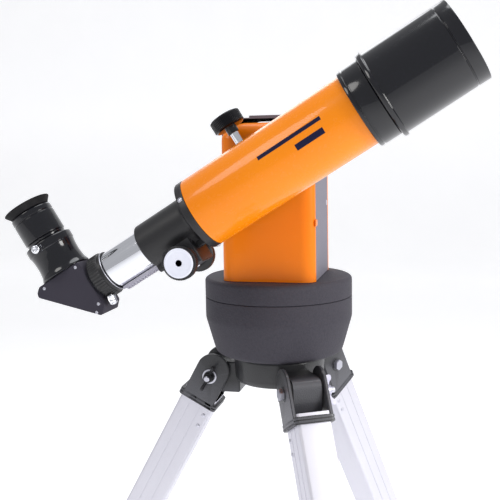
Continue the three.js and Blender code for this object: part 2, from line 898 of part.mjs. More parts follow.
// The pillar seen from above, with its outward face at -Y and its vertical edges rounded.
function shellPlan(depth, inset) {
  const half = pillarWidth / 2 - inset;
  const face = -depth + inset;
  const radius = pillarCorner - inset;
  const shape = new THREE.Shape();
  shape.moveTo(-half, 0);
  shape.absarc(-half + radius, face + radius, radius, Math.PI, 1.5 * Math.PI);
  shape.absarc(half - radius, face + radius, radius, 1.5 * Math.PI, 2 * Math.PI);
  shape.lineTo(half, 0);
  return shape;
}

// A tray-shaped cover, open to +Y, its open edge on the plane y = 0.
function shellTray(depth) {
  const outer = common(
    extruded(shellPlan(depth, 0), coreHeight),
    upright(pillarOutline(shellHeight, 0), -depth, 0),
  );
  const room = common(
    extruded(shellPlan(depth, shellWall), coreHeight),
    upright(pillarOutline(shellHeight, shellWall), -depth, 0),
  );
  return cut(outer, room, upright(pillarOutline(shellHeight, shellWall), -1, 1));
}

function frontShell() {
  const hole = rodY(altitudeShaftRadius + runningGap, -frontShellDepth - 1, 1, middleFacets);
  hole.translate(0, 0, altitudeHeight);
  return cut(shellTray(frontShellDepth - seatGap), hole).translate(0, coreFront - seatGap, 0);
}

function rearShell() {
  const opening = block(
    -doorHalfWidth - runningGap,
    doorHalfWidth + runningGap,
    -rearShellDepth - 1,
    1,
    doorBottom - runningGap,
    doorTop + runningGap,
  );
  const shell = cut(shellTray(rearShellDepth - seatGap), opening);
  return shell.rotateZ(Math.PI).translate(0, coreRear + seatGap, 0);
}

function coreFrame() {
  const ring = upright(pillarOutline(coreHeight, 0), coreFront, coreRear);
  const room = upright(pillarOutline(coreHeight, coreWall), coreFront - 1, coreRear + 1);
  const outside = -pillarWidth / 2 - 1;
  const inside = outside + coreWall + 5;
  const stepTop = coreHeight - capStep;
  const aboveStep = block(outside, capStepAlong, coreFront - 1, coreRear + 1, stepTop, coreHeight + 1);
  const switchHole = block(
    outside,
    inside,
    switchAlong - switchHalfWidth - runningGap,
    switchAlong + switchHalfWidth + runningGap,
    switchHeight - switchHalfHeight - runningGap,
    switchHeight + switchHalfHeight + runningGap,
  );
  const sockets = [0, 1].map((place) => {
    const from = socketFirst + socketPitch * place;
    return block(outside, inside, from, from + socketWidth, socketBottom, socketTop);
  });
  const powerInlet = rodX(inletRadius, outside, inside, smallFacets).translate(0, inletAlong, inletHeight);
  return cut(ring, room, aboveStep, switchHole, ...sockets, powerInlet);
}

function batteryDoor() {
  const height = doorTop - doorBottom;
  const gripFrom = height - gripDrop;
  const outer = doorThickness + gripStand;
  const panel = block(-doorHalfWidth, doorHalfWidth, 0, doorThickness, 0, height);
  const gripTo = gripFrom + gripHeight;
  const grip = block(-gripHalfWidth, gripHalfWidth, doorThickness - 1, outer, gripFrom, gripTo);
  return join(panel, grip);
}

// Two rows of round cells in a tray.
function batteryPack() {
  const pitch = 2 * cellRadius + cellPlay;
  const height = cellsHigh * pitch;
  const parts = [block(-cellLength / 2, cellLength / 2, -packSpine, packSpine, 0, height)];
  for (let row = 0; row < cellsHigh; row += 1) {
    for (const side of [-1, 1]) {
      const cell = rodX(cellRadius, -cellLength / 2, cellLength / 2, smallFacets);
      parts.push(cell.translate(0, side * (cellRadius + 1), (row + 0.5) * pitch));
    }
  }
  for (const side of [-1, 1]) {
    const from = side * (cellLength / 2 + 1);
    const to = from - side * packEndWall;
    parts.push(block(Math.min(from, to), Math.max(from, to), -pitch, pitch, 0, height));
  }
  return join(...parts);
}

// A rocker, pivoting about Y at its middle, its face towards -X.
function powerSwitch() {
  const shape = outlineShape([
    [-1.5, -switchHalfHeight + 0.6],
    [-0.2, 0],
    [-1.5, switchHalfHeight - 0.6],
    [switchThickness - 2, switchHalfHeight - 2],
    [switchThickness - 2, -switchHalfHeight + 2],
  ]);
  return upright(shape, -switchHalfWidth, switchHalfWidth);
}

// Shapes of the turntable and the base

function turntable() {
  const edge = -turntableHeight;
  const wall = turntableRadius - bowlWall;
  const sleeveInner = sleeveRadius - sleeveWall;
  return turned(
    [
      [0, 0],
      [turntableRadius - turntableBevel, 0],
      [turntableRadius - 0.8, -turntableBevel * 0.4],
      [turntableRadius, -turntableBevel],
      [turntableRadius, edge],
      [wall, edge],
      [wall, -turntablePlate],
      [sleeveRadius, -turntablePlate],
      [sleeveRadius, edge - sleeveDepth],
      [sleeveInner, edge - sleeveDepth],
      [sleeveInner, -turntablePlate],
      [0, -turntablePlate],
    ],
    wideFacets,
  );
}

function baseBowl() {
  const waist = seam - bowlStraight;
  const footTop = bowlBottom + bowlFootHeight;
  const floor = bowlBottom + bowlFloor;
  const hole = boltRadius + seatGap;
  const postTop = -turntablePlate - 12;
  return turned(
    [
      [hole, bowlBottom],
      [bowlFootRadius, bowlBottom],
      [bowlFootRadius + 6, bowlBottom + 1.8],
      [bowlWaistRadius, footTop],
      [turntableRadius, waist],
      [turntableRadius, seam],
      [turntableRadius - bowlWall, seam],
      [turntableRadius - bowlWall, waist],
      [bowlWaistRadius - bowlWall, floor],
      [postRadius, floor],
      [postRadius, postTop],
      [hole, postTop],
    ],
    wideFacets,
  );
}

// Fixed to the bowl's floor, round the turntable's sleeve.
function azimuthGear() {
  const top = -azimuthGearDrop;
  const bottom = top - azimuthGearThickness;
  const floor = bowlBottom + bowlFloor + seatGap;
  const bore = sleeveRadius + runningGap;
  return turned(
    [
      [bore, floor],
      [azimuthGearHub, floor],
      [azimuthGearHub, bottom],
      [azimuthGearRadius, bottom],
      [azimuthGearRadius, top],
      [bore, top],
    ],
    wideFacets,
  );
}

// Hangs from the turntable beside the gear, along +X from its worm.
function azimuthMotor() {
  const end = azimuthMotorStart + azimuthMotorLength;
  const can = rodX(azimuthMotorRadius, azimuthMotorStart, end, middleFacets);
  const ceiling = azimuthGearDrop + azimuthGearThickness / 2 - turntablePlate - seatGap;
  const hanger = block(azimuthMotorStart + 2, end - 2, -4, 4, 0, ceiling);
  return join(can, hanger);
}

function legTurn(index) {
  return firstLegTurn + (2 * Math.PI * index) / legCount;
}

function tripodHead() {
  const hinge = -hingeDrop;
  const parts = [rodZ(headRadius, headBottom, headTop, wideFacets)];
  const drills = [rodZ(boltRadius + seatGap, headBottom - 1, headTop + 1, middleFacets)];
  for (let index = 0; index < legCount; index += 1) {
    const outer = hingeRadius + lugReach;
    const top = hinge + lugAbove;
    const bottom = hinge - lugBelow;
    const section = new THREE.Shape();
    const rounding = 9;
    section.moveTo(headRadius - 6, bottom);
    section.lineTo(outer, bottom);
    section.absarc(outer - rounding, top - rounding, rounding, 0, Math.PI / 2);
    section.lineTo(headRadius - 6, top);
    parts.push(upright(section, -lugHalfWidth, lugHalfWidth).rotateZ(legTurn(index)));
    const drill = rodY(hingeBoltRadius + runningGap, -lugHalfWidth - 1, lugHalfWidth + 1, smallFacets);
    drills.push(drill.translate(hingeRadius, 0, hinge).rotateZ(legTurn(index)));
  }
  return cut(join(...parts), ...drills);
}

function mountingKnob() {
  const top = headBottom - seatGap;
  const boltTop = bowlBottom + bowlFloor + 6;
  return turned(
    [
      [0, top - mountKnobHeight],
      [mountKnobRadius * 0.45, top - mountKnobHeight],
      [mountKnobRadius - 4, top - mountKnobHeight + 2],
      [mountKnobRadius, top - 4],
      [mountKnobRadius, top],
      [boltRadius, top],
      [boltRadius, boltTop],
      [0, boltTop],
    ],
    middleFacets,
  );
}

// Shapes of a leg, in its own frame: hinge at the origin, leg along -Z, outwards +X

function clevis() {
  const cheek = new THREE.Shape();
  cheek.moveTo(cheekRadius, -clevisEnd);
  cheek.absarc(0, cheekRise, cheekRadius, 0, Math.PI);
  cheek.lineTo(-cheekRadius, -clevisEnd);
  const cheeks = [-1, 1].map((side) => {
    const inner = side * cheekInner;
    const outer = side * clevisHalfWidth;
    return upright(cheek, Math.min(inner, outer), Math.max(inner, outer));
  });
  const depth = upperHalfDepth + cheekThickness;
  const collarTop = -clevisEnd + clevisCollar;
  const collar = block(-depth, depth, -clevisHalfWidth, clevisHalfWidth, -clevisEnd, collarTop);
  const roomX = upperHalfDepth + seatGap;
  const roomY = upperHalfWidth + seatGap;
  const room = block(-roomX, roomX, -roomY, roomY, -clevisEnd - 1, collarTop + 1);
  const bore = rodY(hingeBoltRadius + seatGap, -clevisHalfWidth - 1, clevisHalfWidth + 1, smallFacets);
  return cut(join(...cheeks, collar), room, bore);
}

// The outer section, with the lock's collar at its foot and the brace's fork on its inner side.
function upperLeg() {
  const outer = extruded(roundedRectangle(upperHalfDepth, upperHalfWidth, 3), upperEnd - upperStart);
  outer.translate(0, 0, -upperEnd);
  const collarDepth = upperHalfDepth + lockCollarWall;
  const collarWidth = upperHalfWidth + lockCollarWall;
  const collarTop = -upperEnd + lockCollarLength;
  const collar = block(-collarDepth, collarDepth, -collarWidth, collarWidth, -upperEnd, collarTop);
  const roomX = upperHalfDepth - upperWall;
  const roomY = upperHalfWidth - upperWall;
  const room = block(-roomX, roomX, -roomY, roomY, -upperEnd - 1, -upperStart + 1);
  const forkOuter = upperHalfDepth + braceStandOff + braceEyeRadius;
  const forkInner = braceHalfThickness + braceForkGap;
  const fork = block(-forkOuter, -roomX, -forkInner - 3, forkInner + 3, -braceDown - 8, -braceDown + 8);
  const slotFace = -upperHalfDepth - 0.5;
  const slot = block(-forkOuter - 1, slotFace, -forkInner, forkInner, -braceDown - 9, -braceDown + 9);
  const screwHole = rodX(lockScrewRadius + seatGap, roomX - 1, collarDepth + 1, smallFacets);
  screwHole.translate(0, 0, -upperEnd + lockScrewUp);
  return cut(join(outer, collar, cut(fork, slot)), room, screwHole);
}

function lowerLeg() {
  const length = legLength - footLength + footSocket - lowerStart;
  const outer = block(-lowerHalfDepth, lowerHalfDepth, -lowerHalfWidth, lowerHalfWidth, 0, length);
  const inX = lowerHalfDepth - lowerWall;
  const inY = lowerHalfWidth - lowerWall;
  return cut(outer, block(-inX, inX, -inY, inY, -1, length + 1)).translate(0, 0, -lowerStart - length);
}

// A boot over the lower section's end, its sole level on the floor.
function foot() {
  const top = -legLength + footLength;
  const width = lowerHalfWidth + footWall;
  const depth = lowerHalfDepth + footWall;
  const boot = block(-depth, depth, -width, width, -legLength - footRadius, top);
  const socket = block(
    -lowerHalfDepth - seatGap,
    lowerHalfDepth + seatGap,
    -lowerHalfWidth - seatGap,
    lowerHalfWidth + seatGap,
    top - footSocket - seatGap,
    top + 1,
  );
  const below = block(-100, 100, -100, 100, -100, 0).rotateY(splay).translate(0, 0, -legLength);
  return cut(boot, socket, below);
}

// The brace's own frame: outer pin at the origin, bar along -X.
function brace(length) {
  const half = braceHalfThickness;
  const bar = new THREE.Shape();
  bar.absarc(0, 0, braceEyeRadius, -Math.PI / 2, Math.PI / 2);
  bar.absarc(-length, 0, braceEyeRadius, Math.PI / 2, 1.5 * Math.PI);
  const pins = [0, -length].map((x) => {
    const pin = rodY(bracePinRadius, -half - braceForkGap + 0.4, half + braceForkGap - 0.4, smallFacets);
    return pin.translate(x, 0, 0);
  });
  return join(upright(bar, -half, half), ...pins);
}

function wingBolt() {
  const reach = clevisHalfWidth + seatGap;
  const shaft = rodY(hingeBoltRadius, -reach - 1, reach + 12, smallFacets);
  const head = rodY(boltHeadRadius, -reach - boltHeadThickness, -reach, smallFacets);
  const hub = rodY(wingHubRadius, reach, reach + 8, smallFacets);
  const wings = [-1, 1].map((side) => {
    const wing = new THREE.Shape();
    wing.absarc(side * (wingSpan - 4.5), 0, 4.5, 0, 2 * Math.PI);
    const tip = extruded(wing, wingThickness).translate(0, 0, -wingThickness / 2);
    const from = side * 3;
    const to = side * (wingSpan - 4);
    const half = wingThickness / 2;
    const web = block(Math.min(from, to), Math.max(from, to), -3.4, 3.4, -half, half);
    return join(tip, web).translate(0, reach + 7, 0);
  });
  return join(shaft, head, hub, ...wings);
}

function lockKnob() {
  const from = upperHalfDepth + lockCollarWall + seatGap;
  const tip = lowerHalfDepth + seatGap;
  return turnedAlongX(
    [
      [0, tip],
      [lockScrewRadius, tip],
      [lockScrewRadius, from],
      [lockKnobRadius - 3, from],
      [lockKnobRadius, from + 3],
      [lockKnobRadius, from + lockKnobThickness - 1],
      [lockKnobRadius - 1, from + lockKnobThickness],
      [0, from + lockKnobThickness],
    ],
    smallFacets,
  );
}

function accessoryTray() {
  const disc = rodZ(trayRadius, -trayThickness / 2, trayThickness / 2, wideFacets);
  const hub = rodZ(traySlotInner - 3, -trayThickness / 2 - 5, trayThickness / 2, middleFacets);
  const tools = [];
  for (let index = 0; index < legCount; index += 1) {
    const side = traySlotHalfWidth;
    const slot = block(traySlotInner, trayRadius + 1, -side, side, -trayThickness, trayThickness);
    tools.push(slot.rotateZ(legTurn(index)));
    const hole = rodZ(trayHoleRadius, -trayThickness, trayThickness, middleFacets);
    tools.push(hole.translate(trayHoleCircle, 0, 0).rotateZ(legTurn(index) + Math.PI / legCount));
  }
  return cut(join(disc, hub), ...tools);
}

// Assembly

const telescope = new THREE.Group();

function group(parent, x = 0, y = 0, z = 0) {
  const child = new THREE.Group();
  child.position.set(x, y, z);
  parent.add(child);
  return child;
}

function place(parent, name, geometry, material) {
  const mesh = new THREE.Mesh(geometry, material);
  mesh.name = name;
  parent.add(mesh);
  return mesh;
}

function addOpticalTube(parent) {
  place(parent, 'main_tube', mainTube(), orangePaint());
  place(parent, 'objective_cell', objectiveCell(), blackGloss());
  place(parent, 'objective_lens', objectiveLens(), glass());
  place(parent, 'dew_shield', dewShield(), blackGloss());
  place(parent, 'focuser_housing', focuserHousing(), blackSatin());
  place(parent, 'dovetail_bar', dovetailBar(), blackSatin());
  place(parent, 'drawtube', drawtube(), chrome());
  place(parent, 'drawtube_rack', drawtubeRack(), whitePlastic());
  place(parent, 'eyepiece_holder', eyepieceHolder(), blackSatin());
  const pinion = group(parent, pinionAlong, 0, pinionHeight);
  place(pinion, 'pinion_shaft', pinionShaft(), brass());
  place(pinion, 'near_focus_knob', focusKnob(), blackSatin());
  place(pinion, 'far_focus_knob', focusKnob().rotateZ(Math.PI), blackSatin());
}

function addDiagonal(parent) {
  place(parent, 'diagonal_housing', diagonalHousing(), blackSatin());
  place(parent, 'diagonal_mirror', diagonalMirror(), mirrorGlass());
  const stack = group(parent, diagonalAxis, 0, 0);
  place(stack, 'eyepiece_collar', eyepieceCollar(), blackGloss());
  place(stack, 'eyepiece_body', eyepieceBody(), blackGloss());
  place(stack, 'eye_lens', eyeLens(), glass());
  place(stack, 'eyecup', eyecup(), blackRubber());
  const stemTip = barrelRadius + 2 * seatGap;
  const bandMiddle = diagonalTop + seatGap + collarStandHeight - eyepieceCollarBand + 2.6;
  const collarScrew = place(stack, 'collar_thumbscrew', thumbScrew(eyepieceCollarRadius, stemTip), chrome());
  collarScrew.rotation.x = -Math.PI / 2;
  collarScrew.position.z = bandMiddle;
  const holderScrew = place(parent, 'holder_thumbscrew', thumbScrew(holderRingRadius, stemTip), chrome());
  holderScrew.rotation.x = -holderScrewTurn;
  holderScrew.position.x = holderFront - holderLength + holderRingLength / 2;
}

function addHead(parent) {
  place(parent, 'turntable', turntable(), greyTexture());
  place(parent, 'core_frame', coreFrame(), greyTexture());
  place(parent, 'front_shell', frontShell(), orangePaint());
  place(parent, 'rear_shell', rearShell(), orangePaint());
  const doorFace = coreRear + rearShellDepth - doorThickness - seatGap;
  const door = group(parent, 0, doorFace, doorBottom);
  place(door, 'battery_door', batteryDoor(), orangePaint());
  const pack = group(parent, 0, coreRear - 2 * cellRadius - 4, packBottom);
  place(pack, 'battery_pack', batteryPack(), cellPlastic());
  const rocker = group(parent, -pillarWidth / 2 + 0.5, switchAlong, switchHeight);
  place(rocker, 'power_switch', powerSwitch(), blackSatin());
  const drive = group(
    parent,
    altitudeWheelRadius + wormPlay + wormRadius,
    -pillarFront + altitudeWheelInset + altitudeWheelThickness / 2,
    altitudeHeight,
  );
  place(drive, 'altitude_worm', worm(), brass());
  place(drive, 'altitude_motor', altitudeMotor(), steel());
  const turnDrive = group(
    parent,
    0,
    azimuthGearRadius + wormPlay + wormRadius,
    -azimuthGearDrop - azimuthGearThickness / 2,
  );
  place(turnDrive, 'azimuth_worm', worm().rotateY(Math.PI / 2), brass());
  place(turnDrive, 'azimuth_motor', azimuthMotor(), steel());
}

function addSaddle(parent) {
  place(parent, 'altitude_shaft', altitudeShaft(), steel());
  const tilted = group(parent, 0, -tubeOffset, 0);
  tilted.rotation.y = -altitudeAngle;
  place(tilted, 'saddle', saddle(), blackSatin());
  const knob = group(tilted, 0, barFace + barThickness / 2, 0);
  place(knob, 'saddle_knob', saddleKnob(), blackSatin());
  addOpticalTube(tilted);
  addDiagonal(tilted);
}

function addLeg(parent, index) {
  const name = legNames[index];
  const turn = legTurn(index);
  const leg = group(parent, hingeRadius * Math.cos(turn), hingeRadius * Math.sin(turn), -hingeDrop);
  leg.rotation.set(0, -splay, turn, 'ZYX');
  place(leg, `clevis_${name}`, clevis(), blackSatin());
  place(leg, `wing_bolt_${name}`, wingBolt(), steel());
  place(leg, `upper_leg_${name}`, upperLeg(), silverAnodised());
  place(leg, `lower_leg_${name}`, lowerLeg(), silverAnodised());
  place(leg, `foot_${name}`, foot(), blackRubber());
  const knob = group(leg, 0, 0, -upperEnd + lockScrewUp);
  place(knob, `lock_knob_${name}`, lockKnob(), blackSatin());
}

// The pin between leg and brace, as [radius from the azimuth axis, height].
function bracePin() {
  const x = -upperHalfDepth - braceStandOff;
  const z = -braceDown;
  const radius = hingeRadius + x * Math.cos(splay) - z * Math.sin(splay);
  const height = -hingeDrop + x * Math.sin(splay) + z * Math.cos(splay);
  return [radius, height];
}

function addSpreader(parent) {
  const [pinRadius, pinHeight] = bracePin();
  const length = (pinRadius - trayHubRadius) / Math.cos(braceRise);
  for (let index = 0; index < legCount; index += 1) {
    const turn = legTurn(index);
    const arm = group(parent, pinRadius * Math.cos(turn), pinRadius * Math.sin(turn), pinHeight);
    arm.rotation.set(0, braceRise, turn, 'ZYX');
    place(arm, `brace_${legNames[index]}`, brace(length), silverAnodised());
  }
  const tray = group(parent, 0, 0, pinHeight + length * Math.sin(braceRise));
  place(tray, 'accessory_tray', accessoryTray(), blackSatin());
}

addHead(telescope);
addSaddle(group(telescope, 0, 0, altitudeHeight));
place(telescope, 'base_bowl', baseBowl(), greyTexture());
place(telescope, 'azimuth_gear', azimuthGear(), brass());
place(telescope, 'tripod_head', tripodHead(), blackSatin());
place(telescope, 'mounting_knob', mountingKnob(), blackSatin());
for (let index = 0; index < legCount; index += 1) addLeg(telescope, index);
addSpreader(telescope);

// The origin goes to the middle of the footprint, on the floor.
const reach = new THREE.Box3().setFromObject(telescope, true);
telescope.position.set(-(reach.min.x + reach.max.x) / 2, -(reach.min.y + reach.max.y) / 2, floorDrop);

export default telescope;
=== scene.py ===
import json
import math
import bpy
import bmesh
from mathutils import Matrix, Vector


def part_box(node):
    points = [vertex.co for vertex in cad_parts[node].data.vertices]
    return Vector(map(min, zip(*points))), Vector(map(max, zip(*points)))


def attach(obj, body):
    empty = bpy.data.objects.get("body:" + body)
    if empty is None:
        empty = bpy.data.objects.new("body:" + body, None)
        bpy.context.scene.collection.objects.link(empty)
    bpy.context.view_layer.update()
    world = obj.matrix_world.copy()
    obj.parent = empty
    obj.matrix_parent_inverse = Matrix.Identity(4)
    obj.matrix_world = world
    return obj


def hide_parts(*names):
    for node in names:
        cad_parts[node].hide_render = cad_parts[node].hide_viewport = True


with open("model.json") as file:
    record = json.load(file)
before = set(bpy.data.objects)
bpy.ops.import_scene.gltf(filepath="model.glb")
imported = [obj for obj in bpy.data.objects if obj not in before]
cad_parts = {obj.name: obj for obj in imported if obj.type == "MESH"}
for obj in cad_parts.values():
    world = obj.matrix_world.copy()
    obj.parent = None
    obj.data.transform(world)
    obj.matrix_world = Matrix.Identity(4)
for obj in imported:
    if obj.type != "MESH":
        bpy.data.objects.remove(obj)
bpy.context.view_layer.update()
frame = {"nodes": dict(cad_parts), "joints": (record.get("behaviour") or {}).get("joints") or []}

scene = bpy.context.scene
mm = 0.001
legNames = ("left", "front", "rear")

# where things are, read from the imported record

joints = {joint["name"]: joint for joint in frame["joints"]}


def axesAt(origin, x, y, z):
    return Matrix.Translation(origin) @ Matrix((x, y, z)).transposed().to_4x4()


def jointSpot(name):
    return Vector(joints[name]["pos_m"])


def jointAxis(name):
    return Vector(joints[name]["axis"]).normalized()


def moved(place, x=0.0, y=0.0, z=0.0):
    return place @ Matrix.Translation(Vector((x, y, z)) * mm)


def extent(node, place):
    # a CAD node's lowest and highest corner in a local frame, in millimetres
    toLocal = place.inverted()
    spots = [toLocal @ vertex.co for vertex in frame["nodes"][node].data.vertices]
    low = Vector([min(spot[i] for spot in spots) for i in range(3)])
    high = Vector([max(spot[i] for spot in spots) for i in range(3)])
    return low / mm, high / mm


def tubeAxes():
    low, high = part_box("main_tube")
    pivot = jointSpot("altitude")
    origin = Vector((pivot.x, (low.y + high.y) / 2, pivot.z))
    along = jointAxis("tube_balance")
    across = Vector((0, 1, 0))
    return axesAt(origin, along, across, along.cross(across))


def legAxes(name):
    down = jointAxis(f"leg_extend_{name}")
    across = jointAxis(f"leg_fold_{name}")
    return axesAt(jointSpot(f"leg_fold_{name}"), across.cross(-down), across, -down)


headPlace = Matrix.Translation(jointSpot("azimuth"))  # the azimuth axis at the turntable's top
tubePlace = tubeAxes()  # X along the tube, Z up from it
barrelPlace = tubePlace @ Matrix(((0, 0, 1), (1, 0, 0), (0, 1, 0))).to_4x4()  # Z along the tube
legPlaces = {name: legAxes(name) for name in legNames}

# shapes, in millimetres


def softened(points, steps=4, closed=True):
    # an outline with its corners eased: each point may carry the reach of its rounding
    eased = []
    last = len(points) - 1
    for i, point in enumerate(points):
        here = Vector(point[:2])
        reach = point[2] if len(point) > 2 else 0
        if not reach or (not closed and i in (0, last)):
            eased.append(here)
            continue
        back = Vector(points[i - 1][:2]) - here
        ahead = Vector(points[(i + 1) % len(points)][:2]) - here
        reach = min(reach, 0.48 * back.length, 0.48 * ahead.length)
        start = here + back.normalized() * reach
        end = here + ahead.normalized() * reach
        for step in range(steps + 1):
            t = step / steps
            eased.append(start * (1 - t) ** 2 + here * 2 * t * (1 - t) + end * t * t)
    return eased


def arc(centre, radius, start, end, steps=16):
    spots = []
    for step in range(steps + 1):
        angle = math.radians(start + (end - start) * step / steps)
        spots.append((centre[0] + radius * math.cos(angle), centre[1] + radius * math.sin(angle)))
    return spots


def turned(profile, segments=96, wave=None, steps=4):
    # (radius, height, rounding) points turned about Z; wave may change a radius round the circle
    onAxis = profile[0][0] == 0
    form = bmesh.new()
    rings = []
    for radius, height in softened(profile, steps, not onAxis):
        if radius < 1e-6:
            rings.append([form.verts.new((0, 0, height))])
            continue
        ring = []
        for k in range(segments):
            angle = 2 * math.pi * k / segments
            reach = wave(radius, height, angle) if wave else radius
            ring.append(form.verts.new((reach * math.cos(angle), reach * math.sin(angle), height)))
        rings.append(ring)
    pairs = list(zip(rings, rings[1:]))
    if not onAxis:
        pairs.append((rings[-1], rings[0]))
    for low, high in pairs:
        for k in range(segments):
            n = (k + 1) % segments
            corners = [low[k % len(low)], low[n % len(low)], high[n % len(high)], high[k % len(high)]]
            distinct = list(dict.fromkeys(corners))
            if len(distinct) > 2:
                form.faces.new(distinct)
    bmesh.ops.recalc_face_normals(form, faces=form.faces)
    return form


def easeEdges(form, width, steps=2, angle=25):
    sharp = [edge for edge in form.edges if edge.calc_face_angle(0) > math.radians(angle)]
    if width and sharp:
        bmesh.ops.bevel(form, geom=sharp, offset=width, segments=steps, affect="EDGES", clamp_overlap=True)
    return form


def prism(outline, low, high, bevel=0.0, steps=2):
    # an outline in X and Y standing between two heights
    form = bmesh.new()
    bottom = [form.verts.new((point[0], point[1], low)) for point in outline]
    top = [form.verts.new((point[0], point[1], high)) for point in outline]
    form.faces.new(bottom)
    form.faces.new(top)
    for k in range(len(outline)):
        n = (k + 1) % len(outline)
        form.faces.new((bottom[k], bottom[n], top[n], top[k]))
    bmesh.ops.recalc_face_normals(form, faces=form.faces)
    return easeEdges(form, bevel, steps)


def slab(x0, x1, y0, y1, z0, z1, bevel=0.4, steps=2):
    return prism([(x0, y0), (x1, y0), (x1, y1), (x0, y1)], z0, z1, bevel, steps)


def oblong(halfX, halfY, rounding, steps=6):
    return softened([(-halfX, -halfY, rounding), (halfX, -halfY, rounding),
                     (halfX, halfY, rounding), (-halfX, halfY, rounding)], steps)


def shifted(form, place):
    form.transform(place)
    return form


def lyingX(form):
    return shifted(form, Matrix(((0, 0, 1), (1, 0, 0), (0, 1, 0))).to_4x4())


def lyingY(form):
    return shifted(form, Matrix(((1, 0, 0), (0, 0, -1), (0, 1, 0))).to_4x4())


def wrapped(form, radius):
    # bends a flat form round Z: X becomes the way round, starting at the operator's side, Y becomes depth
    for vertex in form.verts:
        angle = vertex.co.x / radius
        reach = radius + vertex.co.y
        vertex.co = Vector((-reach * math.cos(angle), reach * math.sin(angle), vertex.co.z))
    bmesh.ops.recalc_face_normals(form, faces=form.faces)
    return form


def looseObject(form, name="loose"):
    mesh = bpy.data.meshes.new(name)
    form.to_mesh(mesh)
    form.free()
    made = bpy.data.objects.new(name, mesh)
    scene.collection.objects.link(made)
    return made


def carved(form, *tools, ease=0.0):
    # takes the tools' shapes out of a form
    body = looseObject(form)
    cutters = [looseObject(tool) for tool in tools]
    for cutter in cutters:
        step = body.modifiers.new("cut", "BOOLEAN")
        step.operation = "DIFFERENCE"
        step.solver = "EXACT"
        step.object = cutter
    result = bmesh.new()
    result.from_object(body, bpy.context.evaluated_depsgraph_get())
    for used in [body, *cutters]:
        bpy.data.objects.remove(used)
    bmesh.ops.dissolve_degenerate(result, dist=1e-4, edges=result.edges)
    return easeEdges(result, ease, 1, 40)


class Piece:
    # one visible part, put together from forms
    def __init__(self, name, place, *finishes):
        self.name = name
        self.place = place
        self.finishes = finishes
        self.mesh = bmesh.new()

    def add(self, form, place=None, finish=0):
        if place is not None:
            form.transform(place)
        for face in form.faces:
            face.material_index = finish
        loose = bpy.data.meshes.new("loose")
        form.to_mesh(loose)
        form.free()
        self.mesh.from_mesh(loose)
        bpy.data.meshes.remove(loose)
        return self

    def repaint(self, finish, test):
        for face in self.mesh.faces:
            if test(face.calc_center_median(), face.normal):
                face.material_index = finish
        return self

    def done(self, body, slot, *nodes, level=False, creaseAngle=32):
        for face in self.mesh.faces:
            face.smooth = True
        for edge in self.mesh.edges:
            edge.smooth = edge.calc_face_angle(0) < math.radians(creaseAngle)
        data = bpy.data.meshes.new(self.name)
        self.mesh.to_mesh(data)
        self.mesh.free()
        data.transform(Matrix.Scale(mm, 4))
        for finish in self.finishes:
            data.materials.append(finish)
        made = bpy.data.objects.new(self.name, data)
        scene.collection.objects.link(made)
        if level:
            data.transform(self.place)
        else:
            made.matrix_world = self.place
        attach(made, body)
        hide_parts(*nodes)
        return made


def around(count, start=0.0):
    return [start + 360.0 * k / count for k in range(count)]


def turn(degrees, axis="Z"):
    return Matrix.Rotation(math.radians(degrees), 4, axis)


def shift(x=0.0, y=0.0, z=0.0):
    return Matrix.Translation((x, y, z))


def slottedScrew(radius, height, slotWidth=0.7):
    # a small domed screw head with a cross slot, its seat at height 0
    head = turned([(0, -0.5), (radius, -0.5), (radius, height * 0.5, 0.4), (radius * 0.55, height, 0.8),
                   (0, height)], 28)
    slots = [slab(-radius * 0.62, radius * 0.62, -slotWidth / 2, slotWidth / 2, height * 0.45, height + 1, 0),
             slab(-slotWidth / 2, slotWidth / 2, -radius * 0.62, radius * 0.62, height * 0.45, height + 1, 0)]
    return carved(head, *slots)


# finishes


def tint(red, green, blue):
    # a screen colour as the shader's own
    channels = []
    for value in (red, green, blue):
        share = value / 255
        channels.append(share / 12.92 if share <= 0.04045 else ((share + 0.055) / 1.055) ** 2.4)
    return (*channels, 1.0)


class Wire:
    # the output of a shader node, which takes part in plain arithmetic
    def __init__(self, finish, socket):
        self.finish = finish
        self.socket = socket

    def reckon(self, operation, first, second):
        return self.finish.node("ShaderNodeMath", {"operation": operation}, {0: first, 1: second})

    def __add__(self, other):
        return self.reckon("ADD", self, other)

    def __radd__(self, other):
        return self.reckon("ADD", other, self)

    def __sub__(self, other):
        return self.reckon("SUBTRACT", self, other)

    def __rsub__(self, other):
        return self.reckon("SUBTRACT", other, self)

    def __mul__(self, other):
        return self.reckon("MULTIPLY", self, other)

    def __rmul__(self, other):
        return self.reckon("MULTIPLY", other, self)

    def __truediv__(self, other):
        return self.reckon("DIVIDE", self, other)

    def __pow__(self, other):
        return self.reckon("POWER", self, other)

    def __gt__(self, other):
        return self.reckon("GREATER_THAN", self, other)

    def __lt__(self, other):
        return self.reckon("LESS_THAN", self, other)


